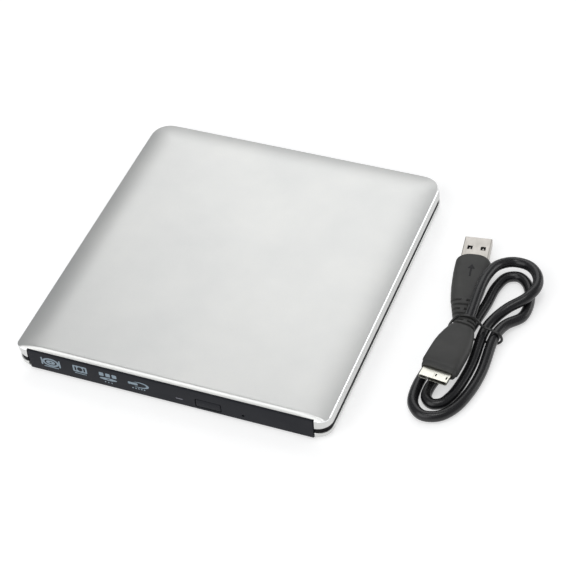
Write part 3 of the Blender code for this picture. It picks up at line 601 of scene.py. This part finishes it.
def add_piece(name, mesh, materials, body, stands_for=(), bevel=0.0, angle=35.0):
    """Makes an object of a bmesh in millimetres, bevels its sharp edges and lets it ride on a body."""
    bmesh.ops.scale(mesh, verts=mesh.verts, vec=(MM, MM, MM))
    data = bpy.data.meshes.new(name)
    mesh.to_mesh(data)
    mesh.free()
    data.shade_smooth()
    data.set_sharp_from_angle(angle=math.radians(angle))
    obj = bpy.data.objects.new(name, data)
    bpy.context.collection.objects.link(obj)
    for material in materials:
        data.materials.append(material)
    if bevel:
        modifier = obj.modifiers.new("edge", "BEVEL")
        modifier.width = bevel * MM
        modifier.segments = 3
        modifier.limit_method = "ANGLE"
        modifier.angle_limit = math.radians(angle)
    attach(obj, body)
    if stands_for:
        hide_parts(*stands_for)
    return obj


# ---------------------------------------------------------------- cable

def smooth_path(points, per_span, cyclic=False):
    """Centripetal Catmull-Rom curve through the points."""
    points = [Vector(point) for point in points]
    if cyclic:
        spans = len(points)
        padded = [points[-1], *points, points[0], points[1]]
    else:
        spans = len(points) - 1
        padded = [2 * points[0] - points[1], *points, 2 * points[-1] - points[-2]]
    path = []
    for span in range(spans):
        p = padded[span:span + 4]
        t = [0.0]
        for near, far in zip(p, p[1:]):
            t.append(t[-1] + math.sqrt((far - near).length))
        for step in range(per_span):
            s = t[1] + (t[2] - t[1]) * step / per_span
            a1 = blend(p[0], p[1], t[0], t[1], s)
            a2 = blend(p[1], p[2], t[1], t[2], s)
            a3 = blend(p[2], p[3], t[2], t[3], s)
            b1 = blend(a1, a2, t[0], t[2], s)
            b2 = blend(a2, a3, t[1], t[3], s)
            path.append(blend(b1, b2, t[1], t[2], s))
    if not cyclic:
        path.append(points[-1])
    return path


def blend(a, b, start, end, s):
    return a + (b - a) * ((s - start) / (end - start))


def add_tube(name, path, radius, material, stands_for, cyclic=False):
    curve = bpy.data.curves.new(name, "CURVE")
    curve.dimensions = "3D"
    curve.bevel_depth = radius * MM
    curve.bevel_resolution = 6
    curve.use_fill_caps = not cyclic
    spline = curve.splines.new("POLY")
    spline.points.add(len(path) - 1)
    for target, point in zip(spline.points, path):
        target.co = (*(Vector(point) * MM), 1.0)
    spline.use_cyclic_u = cyclic
    spline.use_smooth = True
    curve.materials.append(material)
    obj = bpy.data.objects.new(name, curve)
    bpy.context.collection.objects.link(obj)
    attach(obj, "drive")
    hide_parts(stands_for)
    return obj


def section(y, half_w, half_t, power, notch=None, arch=0.0, points=56):
    """A rounded-box section of a plug.

    notch is (depth, share of the width left whole in the middle). arch bows the sides back.
    """
    ring = []
    for i in range(points):
        angle = 2 * math.pi * i / points
        c = math.cos(angle)
        s = math.sin(angle)
        depth = 0.0
        if notch and abs(c) ** (2 / power) > notch[1]:
            depth = notch[0]
        x = (half_w - depth) * math.copysign(abs(c) ** (2 / power), c)
        z = (half_t - depth) * math.copysign(abs(s) ** (2 / power), s)
        ring.append((x, y - arch * (abs(x) / half_w) ** 2.5, z))
    return ring


def relief_rings(start, end, start_size, end_size, rows):
    """Strain relief: a groove for each row. A row is the share of its width left whole in the middle."""
    pitch = (end - start) / len(rows)
    rings = []
    for number, whole in enumerate(rows):
        for share, depth in ((0.0, 0.0), (0.10, 0.75), (0.42, 0.75), (0.52, 0.0), (0.98, 0.0)):
            s = start + pitch * (number + share)
            k = (s - start) / (end - start)
            half_w = start_size[0] + (end_size[0] - start_size[0]) * k
            half_t = start_size[1] + (end_size[1] - start_size[1]) * k
            notch = (depth, whole) if depth else None
            rings.append(section(-s, half_w, half_t, 2.6, notch))
    return rings


def add_a_plug(grip, metal, plastic):
    """USB-A plug in its own frame: y points to the tip, and the grip starts at y = 0."""
    body = [
        (0.9, 6.9, 2.6, 3.0), (0.0, 6.9, 2.6, 3.0), (0.05, 7.15, 3.0, 3.4), (0.3, 7.4, 3.4, 3.6),
        (0.9, 7.6, 3.7, 3.8), (2.0, 7.68, 3.8, 4.0), (6.0, 7.7, 3.8, 3.8), (10.0, 7.65, 3.8, 3.6),
        (15.0, 7.4, 3.8, 3.4), (19.0, 7.1, 3.8, 3.2), (23.0, 6.6, 3.75, 3.0), (26.6, 6.05, 3.7, 2.9),
        (27.2, 5.8, 3.55, 2.8),
    ]
    rings = []
    for s, w, t, power in body:
        arch = 2.6 * max(0.0, 1 - s / 14.0)
        rings.append(section(-s, w, t, power, arch=arch))
    rings += relief_rings(27.4, A_GRIP_LENGTH, (5.8, 3.6), (3.3, 3.0), (0.22, 0.0, 0.22, 0.0))
    body_mesh = loft(list(reversed(rings)))
    return [
        add_piece("a_plug_grip", placed(body_mesh, A_PLUG_AT, A_PLUG_TURN), [grip], "drive",
                  ["usb_a_grip"], angle=50),
        add_a_shell(metal),
        add_a_tongue(plastic),
        add_a_springs(metal),
        add_a_mark(plastic),
    ]


def add_a_shell(metal):
    """Folded sheet with a pair of holes on each wide side and a seam below."""
    outer = rounded_rectangle(-A_SHELL_HALF_W, A_SHELL_HALF_W, -A_SHELL_HALF_H, A_SHELL_HALF_H, 0.55)
    inner = rounded_rectangle(-5.7, 5.7, -1.95, 1.95, 0.3)
    holes = []
    for side in (-1, 1):
        for low, high in ((1.5, 3.0), (-3.0, -1.5)):
            holes.append(box(side * A_HOLE_X - 1.1, side * A_HOLE_X + 1.1, 3.6, 5.8, low, high))
    seam = box(-0.08, 0.08, -2.0, 12.0, -3.0, -2.1)
    mesh = cut_away(bar(outer, -3.0, 11.2), bar(inner, -2.0, 12.0), seam, *holes)
    mesh = placed(mesh, A_PLUG_AT, A_PLUG_TURN)
    return add_piece("a_plug_shell", mesh, [metal], "drive", ["usb_a_shell"], bevel=0.06)


def add_a_tongue(plastic):
    """Insert under the upper wall, which shows through the holes."""
    tongue = box(-5.6, 5.6, -1.0, 10.6, 0.0, 1.35)
    tongue = placed(tongue, A_PLUG_AT, A_PLUG_TURN)
    return add_piece("a_plug_tongue", tongue, [plastic], "drive", bevel=0.15)


def add_a_springs(metal):
    """Lips of the spring fingers that stand in the holes."""
    lips = [box(x - 0.3, x + 0.3, 4.2, 5.2, 1.3, 1.75) for x in (-A_HOLE_X, A_HOLE_X)]
    lips = placed(combine(lips), A_PLUG_AT, A_PLUG_TURN)
    return add_piece("a_plug_springs", lips, [metal], "drive", bevel=0.1)


def add_a_mark(plastic):
    """A raised plain arrow that tells which side is up."""
    outline = [
        (-0.35, -14.0), (0.35, -14.0), (0.35, -9.4), (1.5, -9.4),
        (0.0, -6.8), (-1.5, -9.4), (-0.35, -9.4),
    ]
    mark = placed(prism(outline, 3.5, 3.95), A_PLUG_AT, A_PLUG_TURN)
    return add_piece("a_plug_mark", mark, [plastic], "drive", bevel=0.08)


def add_micro_plug(grip, metal, plastic):
    """Micro-B plug in its own frame: y points to the tip, and the grip starts at y = 0."""
    body = [
        (1.0, 6.5, 1.7, 5.0), (0.0, 6.6, 1.8, 5.0), (0.0, 6.9, 2.4, 4.2), (0.25, 7.2, 2.8, 4.2),
        (0.8, 7.35, 3.0, 4.2), (2.0, 7.4, 3.1, 4.2), (2.25, 7.5, 3.2, 4.4), (2.5, 7.75, 3.65, 4.6),
        (3.0, 7.8, 3.8, 4.8), (8.0, 7.8, 3.8, 4.6), (13.5, 7.8, 3.8, 4.0), (17.0, 7.45, 3.75, 3.7),
        (20.5, 6.8, 3.6, 3.3), (23.5, 6.0, 3.4, 3.0), (25.0, 5.45, 3.25, 2.9), (25.4, 5.2, 3.1, 2.8),
    ]
    rings = [section(-s, w, t, power) for s, w, t, power in body]
    rings += relief_rings(25.6, MICRO_GRIP_LENGTH, (5.1, 3.2), (3.4, 2.9), (0.0, 0.25, 0.0))
    body_mesh = placed(loft(list(reversed(rings))), MICRO_PLUG_AT, MICRO_PLUG_TURN)
    return [
        add_piece("micro_plug_grip", body_mesh, [grip], "drive", ["micro_b_grip"],
                  angle=50),
        add_micro_shell(metal),
        add_micro_tongue(plastic),
    ]


def add_micro_shell(metal):
    """Two mouths joined side by side, with the step that keys the plug between them."""
    outline = [
        (-6.1, -0.4), (-5.4, -1.1), (1.6, -1.1), (2.3, -0.5), (2.5, -0.5), (3.1, -1.1),
        (5.5, -1.1), (6.1, -0.5), (6.1, 1.0), (6.0, 1.1), (-6.0, 1.1), (-6.1, 1.0),
    ]
    wide = [(-5.85, -0.3), (-5.3, -0.85), (1.5, -0.85), (1.95, -0.4), (1.95, 0.85), (-5.85, 0.85)]
    narrow = [(2.95, -0.5), (3.2, -0.85), (5.4, -0.85), (5.85, -0.4), (5.85, 0.85), (2.95, 0.85)]
    mouths = [bar(mouth, 0.9, 6.0) for mouth in (wide, narrow)]
    slots = [box(x - 0.3, x + 0.3, 2.0, 3.4, 0.6, 2.0) for x in (-0.6, -5.2)]
    seam = box(0.15, 0.3, -2.0, 4.2, 0.98, 2.0)
    mesh = cut_away(bar(outline, -1.5, 4.8), seam, *mouths, *slots)
    mesh = placed(mesh, MICRO_PLUG_AT, MICRO_PLUG_TURN)
    return add_piece("micro_plug_shell", mesh, [metal], "drive", ["micro_b_shell"], bevel=0.05)


def add_micro_tongue(plastic):
    tongues = combine([box(-5.0, 1.2, 0.5, 4.0, -0.35, 0.25), box(3.3, 5.5, 0.5, 4.0, -0.35, 0.25)])
    tongues = placed(tongues, MICRO_PLUG_AT, MICRO_PLUG_TURN)
    return add_piece("micro_plug_tongue", tongues, [plastic], "drive", bevel=0.05)


def add_cable(finish):
    cable = add_tube("usb_lead", smooth_path(CABLE_ROUTE, 6), CABLE_D / 2, finish["cord"],
                     "usb_cable")
    tie = add_tube("lead_tie", smooth_path(TIE_ROUTE, 8, cyclic=True), TIE_R, finish["tie"],
                   "cable_tie", cyclic=True)
    plugs = add_a_plug(finish["grip"], finish["nickel"], finish["black"])
    plugs += add_micro_plug(finish["grip"], finish["tin"], finish["black"])


# ---------------------------------------------------------------- case

def crown_height(x, y):
    """Outer height of the top: crowned at left, right and back, with a short steep lip in front."""
    run = CROWN_RUN + CREASE_INSET
    beyond_x = max(0.0, abs(x) - (HALF_W - run))
    beyond_y = max(0.0, y - (BACK - run))
    beyond = (beyond_x ** CROWN_POWER + beyond_y ** CROWN_POWER) ** (1 / CROWN_POWER)
    inside = run - beyond - CREASE_INSET
    rise = 1 - (1 - min(max(inside / CROWN_RUN, 0.0), 1.0)) ** 2
    behind_lip = min(max((y - FRONT - CREASE_INSET) / LIP_RUN, 0.0), 1.0)
    lip = 1 - (1 - behind_lip) ** 2
    return CREASE_Z + (TOP_Z - CREASE_Z) * rise * lip


def crown_ring(inset):
    front_r = max(CROWN_FRONT_R - (inset - CREASE_INSET), LEAST_R)
    back_r = max(CROWN_BACK_R - (inset - CREASE_INSET), LEAST_R)
    return [(x, y, crown_height(x, y)) for x, y in rounded_outline(inset, front_r, back_r)]


def mouth_cutter(half_w, high, back):
    return box(-half_w, half_w, FRONT - 1, back, 0.0, high)


def socket_opening():
    outline = rounded_rectangle(USB_X - 6.8, USB_X + 6.8, 4.15, 7.35, 0.5)
    return bar(outline, 71.0, BACK + 1)


def add_top_cover(satin, bright):
    """The crease under the crowned top is a real chamfer strip in a lighter, glossier metal; its lighter
    colour is a painted highlight.
    """
    rings = [
        case_ring(14.8, TOP_Z - SHELL),
        case_ring(6.0, 11.95),
        case_ring(SHELL + 0.3, 10.6),
        case_ring(SHELL, BAND_HIGH + SEAM),
        wall_ring(0.22, BAND_HIGH + SEAM, FRONT_R, BACK_R),
        wall_ring(0.04, BAND_HIGH + SEAM + 0.18, FRONT_R, BACK_R),
        wall_ring(0.1, 9.0, 5.4, 8.9),
        wall_ring(0.35, CREASE_Z - 0.4, 4.0, 8.7),
    ]
    crease = len(rings) - 1
    insets = (0.7, 0.8, 0.95, 1.1, 1.3, 1.55, 1.85, 2.1, 2.35, 2.8, 3.4, 4.2, 5.2, 6.4, 8.0, 10.0, 12.2, 14.4)
    rings += [crown_ring(inset) for inset in insets]
    mesh = loft(rings, bands=(crease,))
    mesh = cut_away(mesh, mouth_cutter(MOUTH_HALF_W, MOUTH_TOP, MOUTH_BACK), socket_opening())
    add_piece("top_shell", mesh, [satin, bright], "drive", ["top_cover"], angle=30)


def add_bottom_cover(satin):
    rings = []
    for step in range(11):
        angle = math.radians(9 * step)
        rings.append(case_ring(1.9 * (1 - math.sin(angle)), FOOT_H + 2.1 * (1 - math.cos(angle))))
    rings += [
        case_ring(0.0, BAND_LOW - SEAM - 0.15),
        case_ring(0.15, BAND_LOW - SEAM),
        case_ring(SHELL, BAND_LOW - SEAM),
        case_ring(SHELL + 0.3, FOOT_H + 1.2),
    ]
    mesh = loft(rings)
    cutters = [mouth_cutter(MOUTH_HALF_W, 6.0, -70.1), socket_opening()]
    for side, end in corner_signs():
        cutters.append(foot_recess(side, end))
    mesh = cut_away(mesh, *cutters)
    add_piece("bottom_shell", mesh, [satin], "drive", ["bottom_cover"], angle=30)


def corner_signs():
    return [(-1, -1), (1, -1), (1, 1), (-1, 1)]


def foot_recess(side, end):
    foot = (side * FOOT_X, end * FOOT_Y)
    screw = (side * SCREW_X, end * FOOT_Y)
    return loft([
        circle(FOOT_R + 0.2, 0.4, ROUND_STEPS, foot),
        circle(FOOT_R + 0.2, FOOT_H + 0.45, ROUND_STEPS, foot),
        circle(SCREW_R, FOOT_H + 0.45, ROUND_STEPS, screw),
        circle(SCREW_R, 2.5, ROUND_STEPS, screw),
    ])


def add_mid_band(black):
    profile = [
        (0.55, BAND_LOW - 0.05), (0.5, BAND_LOW + 0.1), (0.5, BAND_HIGH - 0.1), (0.55, BAND_HIGH + 0.05),
        (1.6, BAND_HIGH + 0.05), (1.6, 9.6), (2.6, 9.6), (2.6, 2.4), (1.6, 2.4), (1.6, BAND_LOW - 0.05),
    ]
    mesh = loft([case_ring(*point) for point in profile], closed=True)
    mesh = cut_away(mesh, mouth_cutter(MOUTH_HALF_W + 0.2, 12.0, MOUTH_BACK), socket_opening())
    add_piece("mid_band", mesh, [black], "drive", ["mid_frame"], angle=30)


def add_feet(rubber, steel_finish):
    for number, (side, end) in enumerate(corner_signs(), start=1):
        foot = (side * FOOT_X, end * FOOT_Y)
        screw = (side * SCREW_X, end * FOOT_Y)
        outside = [
            (FOOT_R - 0.5, 0.0), (FOOT_R - 0.2, 0.06), (FOOT_R - 0.03, 0.25), (FOOT_R, 0.5), (FOOT_R, 1.2),
        ]
        well = [(1.9, 1.2), (1.9, 0.15), (2.05, 0.0)]
        rings = [circle(radius, z, ROUND_STEPS, foot) for radius, z in outside]
        rings += [circle(radius, z, ROUND_STEPS, screw) for radius, z in well]
        add_piece(f"foot_pad_{number}", loft(rings, closed=True), [rubber], "drive",
                  [f"rubber_foot_{number}"])
        profile = [
            (SCREW_R, 0.5), (1.5, 0.62), (SCREW_HEAD_R, 0.85), (SCREW_HEAD_R, 1.15), (0.8, 1.15), (0.8, 5.0),
        ]
        slots = [placed(box(-0.95, 0.95, -0.17, 0.17, 0.0, 0.95), (*screw, 0.0), math.radians(turn))
                 for turn in (20, 110)]
        head = turned(profile, 32, screw)
        for slot in slots:
            head = cut_away(head, slot)
        add_piece(f"case_screw_head_{number}", head, [steel_finish], "drive",
                  [f"case_screw_{number}"])


# ---------------------------------------------------------------- bezel

def add_bezel(charcoal):
    """Hollow bar with a rounded outer edge, softest along the bottom."""
    rings = []
    for y, shrink in ((BEZEL_BACK, 0.0), (FRONT + 0.6, 0.0), (FRONT + 0.3, 0.06), (FRONT + 0.12, 0.18),
                      (FRONT + 0.03, 0.33), (FRONT, 0.5)):
        outline = rounded_rectangle(-BEZEL_HALF_W + shrink, BEZEL_HALF_W - shrink,
                                    BEZEL_LOW + 1.3 * shrink, BEZEL_HIGH - 0.8 * shrink, 0.5)
        rings.append([(x, y, z) for x, z in outline])
    inner_half = BEZEL_HALF_W - 1.5
    cutters = [
        box(-inner_half, inner_half, FRONT + 1.5, BEZEL_BACK + 1, BEZEL_LOW + 1.4, BEZEL_HIGH - 1.4),
        bar(rounded_rectangle(BUTTON_X - 5.8, BUTTON_X + 5.8, BUTTON_LOW - 0.3, BUTTON_HIGH + 0.3, 0.7),
            FRONT - 1, FRONT + 2),
        bar(rounded_rectangle(LED_X - 1.85, LED_X + 1.85, LED_Z - 0.45, LED_Z + 0.45, 0.3),
            FRONT - 1, FRONT + 2),
        bar([(PINHOLE_X + x, PINHOLE_Z + z) for x, z, _ in circle(PINHOLE_R, 0.0, 24)],
            FRONT - 1, FRONT + 2),
    ]
    mesh = cut_away(loft(rings), *cutters)
    add_piece("bezel_front", mesh, [charcoal], "tray", ["tray_bezel"], angle=40)


def add_button(charcoal):
    rings = []
    for y, shrink in ((FRONT + 2.2, 0.0), (FRONT + 0.3, 0.0), (FRONT + 0.1, 0.08), (FRONT, 0.28)):
        outline = rounded_rectangle(BUTTON_X - BUTTON_W / 2 + shrink, BUTTON_X + BUTTON_W / 2 - shrink,
                                    BUTTON_LOW + shrink, BUTTON_HIGH - shrink, 0.5)
        rings.append([(x, y, z) for x, z in outline])
    stem = box(BUTTON_X - BUTTON_STEM_W / 2, BUTTON_X + BUTTON_STEM_W / 2, FRONT + 2.0, FRONT + 3.1, 4.4, 6.4)
    add_piece("eject_key", combine([loft(rings), stem]), [charcoal], "button",
              ["eject_button"], angle=40)


def add_lamp(lamp):
    rings = []
    for y, shrink in ((FRONT + 4.2, 0.0), (FRONT + 0.15, 0.0), (FRONT + 0.02, 0.12)):
        outline = rounded_rectangle(LED_X - LED_HALF_W + shrink, LED_X + LED_HALF_W - shrink,
                                    LED_Z - LED_HALF_H + shrink, LED_Z + LED_HALF_H - shrink, 0.15)
        rings.append([(x, y, z) for x, z in outline])
    add_piece("lamp_lens", loft(rings), [lamp], "tray", ["led_light_pipe"])


def flat_shape(outline):
    """A printed (x, z) shape on the bezel's face."""
    return bar(outline, FRONT - PRINT, FRONT + 0.05)


def flat_ring(x, z, outer_w, outer_h, inner_w, inner_h, segments=40):
    mesh = bmesh.new()
    layers = []
    for y in (FRONT - PRINT, FRONT + 0.05):
        for half_w, half_h in ((outer_w, outer_h), (inner_w, inner_h)):
            layers.append([mesh.verts.new((x + half_w * a, y, z + half_h * b))
                           for a, b, _ in circle(1.0, 0.0, segments)])
    outer_front, inner_front, outer_rear, inner_rear = layers
    for near, far in ((outer_front, inner_front), (inner_front, inner_rear),
                      (inner_rear, outer_rear), (outer_rear, outer_front)):
        for i in range(segments):
            j = (i + 1) % segments
            mesh.faces.new((near[i], near[j], far[j], far[i]))
    bmesh.ops.recalc_face_normals(mesh, faces=mesh.faces)
    return mesh


def add_symbols(paint):
    """Four plain disc pictograms in place of format marks, with no letters."""
    add_disc_in_frame(paint)
    add_disc_block(paint)
    add_disc_and_bars(paint)
    add_disc_crescent(paint)


def symbol(name, meshes, paint):
    add_piece(name, combine(meshes), [paint], "tray")


def add_disc_in_frame(paint):
    ring = flat_ring(-53.6, 7.2, 3.9, 2.4, 2.9, 1.6)
    hub = flat_ring(-53.6, 7.2, 2.1, 1.15, 0.6, 0.35)
    bars = [flat_shape(rounded_rectangle(x, x + 0.7, 5.0, 9.3, 0.2)) for x in (-58.1, -49.8)]
    base = flat_shape(rounded_rectangle(-57.0, -50.2, 4.1, 4.6, 0.2))
    symbol("symbol_frame", [ring, hub, base, *bars], paint)


def add_disc_block(paint):
    block = cut_away(
        flat_shape(rounded_rectangle(-43.2, -36.7, 5.6, 9.4, 0.5)),
        bar([(-39.95 + 1.25 * x, 7.5 + 1.25 * z) for x, z, _ in circle(1.0, 0.0, 32)],
            FRONT - 1, FRONT + 1),
        bar(rounded_rectangle(-42.4, -41.6, 6.3, 8.7, 0.2), FRONT - 1, FRONT + 1),
        bar(rounded_rectangle(-38.3, -37.5, 6.3, 8.7, 0.2), FRONT - 1, FRONT + 1),
    )
    base = flat_shape(rounded_rectangle(-42.6, -37.2, 4.6, 5.0, 0.15))
    symbol("symbol_block", [block, base], paint)


def add_disc_and_bars(paint):
    disc = flat_ring(-27.0, 5.6, 4.0, 0.75, 0.9, 0.22)
    bars = [flat_shape(rounded_rectangle(x, x + 2.1, 7.0, 9.1, 0.4)) for x in (-31.0, -28.05, -25.1)]
    dots = [flat_shape(rounded_rectangle(x, x + 0.6, 3.4, 4.0, 0.2)) for x in (-28.9, -27.4, -25.9)]
    symbol("symbol_bars", [disc, *bars, *dots], paint)


def add_disc_crescent(paint):
    outer = [(-12.2 + 3.9 * x, 6.9 + 1.75 * z) for x, z, _ in circle(1.0, 0.0, 48)]
    inner = [(-13.1 + 3.6 * x, 6.9 + 1.3 * z) for x, z, _ in circle(1.0, 0.0, 48)]
    crescent = cut_away(flat_shape(outer), bar(inner, FRONT - 1, FRONT + 1))
    centre = flat_shape(rounded_rectangle(-17.9, -13.4, 6.4, 7.7, 0.5))
    places = (-16.2, -14.9, -13.6, -12.3, -11.0)
    dots = [flat_shape(rounded_rectangle(x, x + 0.75, 4.1, 4.7, 0.2)) for x in places]
    symbol("symbol_crescent", [crescent, centre, *dots], paint)


# ---------------------------------------------------------------- spindle, pickup and socket

def on_traverse(mesh):
    """Moves a bmesh from the traverse's own frame, with the spindle at its origin, to its place."""
    return placed(mesh, (DISC_X, DISC_Y, 0.0), TRAVERSE_ANGLE)


def add_hub(black, rubber):
    """Turntable with a rounded hub, three claw slots and the ring that grips the disc."""
    profile = [
        (11.0, 5.7), (11.4, 6.0), (11.4, 7.9), (11.1, 8.15), (9.0, 8.15), (9.0, 8.95),
        (13.9, 8.95), (14.0, 9.05), (14.0, 9.2), (13.9, 9.3), (12.9, 9.3), (12.8, 9.22), (8.2, 9.22),
        (8.1, 9.3), (HUB_R, 9.3), (HUB_R, 10.1), (7.3, 10.3), (7.15, 10.48), (6.9, 10.63), (6.5, 10.75),
        (6.1, 10.8), (3.2, 10.8), (3.0, 10.72), (2.9, 10.6), (2.1, 10.6), (2.0, 10.5), (2.0, 10.4),
    ]
    slots = []
    for number in range(CLAWS):
        slot = box(5.0, 8.0, -1.5, 1.5, 9.55, 10.3)
        slots.append(placed(slot, (0.0, 0.0, 0.0), math.radians(360 / CLAWS * number + 60)))
    hub = cut_away(turned(profile, 96), *slots)
    add_piece("hub", on_traverse(hub), [black], "spindle", ["spindle_hub"], bevel=0.04)
    ring = turned([(12.7, 9.0), (12.7, 9.3), (12.5, 9.35), (8.5, 9.35), (8.3, 9.3), (8.3, 9.0)], 96)
    add_piece("hub_grip_ring", on_traverse(ring), [rubber], "spindle")


def add_lens(glass, black, copper):
    """Domed lens in its holder, with a focus coil at each side."""
    holder = box(LENS_U - 3.6, LENS_U + 3.6, -3.3, 3.3, 6.8, 8.0)
    seat = turned([(1.6, 6.0), (2.25, 7.7), (2.25, 9.0)], ROUND_STEPS, (LENS_U, 0.0))
    holder = cut_away(holder, seat)
    add_piece("lens_seat", on_traverse(holder), [black], "lens", ["lens_holder"], bevel=0.1)
    lens = turned([(1.2, 7.9), (2.1, 8.1), (2.1, 8.35), (2.0, 8.42), (1.85, 8.49), (1.6, 8.57), (1.3, 8.64),
                   (0.95, 8.7), (0.55, 8.74), (0.2, 8.75)], ROUND_STEPS, (LENS_U, 0.0))
    add_piece("lens_dome", on_traverse(lens), [glass], "lens", ["objective_lens"], angle=60)
    coils = []
    for side in (-1, 1):
        coil = rounded_rectangle(LENS_U - 3.0, LENS_U + 3.0, side * 3.75 - 0.5, side * 3.75 + 0.5, 0.45)
        coils.append(prism(coil, 6.9, 7.8))
    add_piece("focus_coils", on_traverse(combine(coils)), [copper], "lens", bevel=0.08)


def add_socket(metal, black, contacts):
    """Thin keyed shell with two mouths, a black tongue in each and contacts under them."""
    mouths = [(-5.9, -2.3), (-1.8, 5.9)]
    shell = bar(rounded_rectangle(USB_X - 6.3, USB_X + 6.3, 4.4, 7.1, 0.5), 67.5, 74.2)
    tongues = []
    strips = []
    for left, right in mouths:
        mouth = rounded_rectangle(USB_X + left, USB_X + right, 4.75, 6.75, 0.35)
        shell = cut_away(shell, bar(mouth, 69.0, 75.0))
        tongues.append(box(USB_X + left + 0.6, USB_X + right - 0.6, 68.5, 73.4, 5.5, 6.1))
        for number in range(5):
            x = USB_X + left + 0.6 + (right - left - 1.2) * (number + 0.5) / 5
            strips.append(box(x - 0.15, x + 0.15, 69.2, 73.3, 5.42, 5.55))
    add_piece("socket_shell", shell, [metal], "drive", ["usb_socket"], bevel=0.08)
    add_piece("socket_tongues", combine(tongues), [black], "drive", bevel=0.06)
    add_piece("socket_contacts", combine(strips), [contacts], "drive")


# ---------------------------------------------------------------- inside pieces that keep their CAD shape

def dress(material, *nodes, bevel=0.08):
    """Gives CAD nodes a material and rounds their edges."""
    for name in nodes:
        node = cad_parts[name]
        for slot in node.material_slots:
            slot.material = material
        weld = node.modifiers.new("weld", "WELD")
        weld.merge_threshold = 1e-6
        if bevel:
            edge = node.modifiers.new("edge", "BEVEL")
            edge.width = bevel * MM
            edge.segments = 2
            edge.limit_method = "ANGLE"
            edge.angle_limit = math.radians(40)


def dress_inside(finish):
    dress(finish["board"], "bridge_board", "drive_board", "tray_board")
    dress(finish["black"], "bridge_chip", "sata_connector", "sata_plug", "traverse_cover")
    dress(finish["tray"], "tray", bevel=0.15)
    dress(finish["steel"], "drive_chassis", "drive_top_plate", "tray_bottom_cover")
    dress(finish["steel"], "slide_rail_left", "slide_rail_right", "guide_rod_main", "guide_rod_sub")
    dress(finish["steel"], "feed_motor", "feed_screw", "spindle_motor", "latch_pin", "latch_lever")
    dress(finish["steel"], "solenoid_plunger", "eject_spring", bevel=0.0)
    dress(finish["nickel"], "eject_switch")
    dress(finish["grey"], "rail_guide_left", "rail_guide_right", "eject_pusher", "traverse_frame")
    dress(finish["grey"], "pickup_sled", "disc_claw_1", "disc_claw_2", "disc_claw_3")
    dress(finish["rubber"], "rubber_damper_1", "rubber_damper_2", "rubber_damper_3")
    dress(finish["copper"], "latch_solenoid")
    dress(finish["film"], "flex_cable", bevel=0.0)


# ---------------------------------------------------------------- the whole scene

def main():
    add_camera()
    finish = {
        "satin": satin_aluminium(),
        # lighter metal of the crease strip, a painted highlight
        "bright": crease_painted_highlight(),
        "charcoal": charcoal_plastic(),
        "black": black_plastic(),
        "band": band_plastic(),
        "rubber": black_rubber(),
        "grip": grip_rubber(),
        "cord": cord_jacket(),
        "tie": tie_plastic(),
        "nickel": nickel(),
        "tin": bright_tin(),
        "steel": steel(),
        "grey": grey_moulding(),
        "tray": tray_plastic(),
        "board": circuit_board(),
        "copper": coil_copper(),
        "glass": lens_glass(),
        "lamp": lamp_plastic(),
        "film": flex_film(),
        "print": symbol_print(),
    }
    add_cable(finish)
    add_top_cover(finish["satin"], finish["bright"])
    add_bottom_cover(finish["satin"])
    add_mid_band(finish["band"])
    add_feet(finish["rubber"], finish["steel"])
    add_bezel(finish["charcoal"])
    add_button(finish["charcoal"])
    add_lamp(finish["lamp"])
    add_symbols(finish["print"])
    add_hub(finish["black"], finish["rubber"])
    add_lens(finish["glass"], finish["black"], finish["copper"])
    add_socket(finish["nickel"], finish["black"], finish["copper"])
    dress_inside(finish)
    add_floor()
    add_studio()


main()
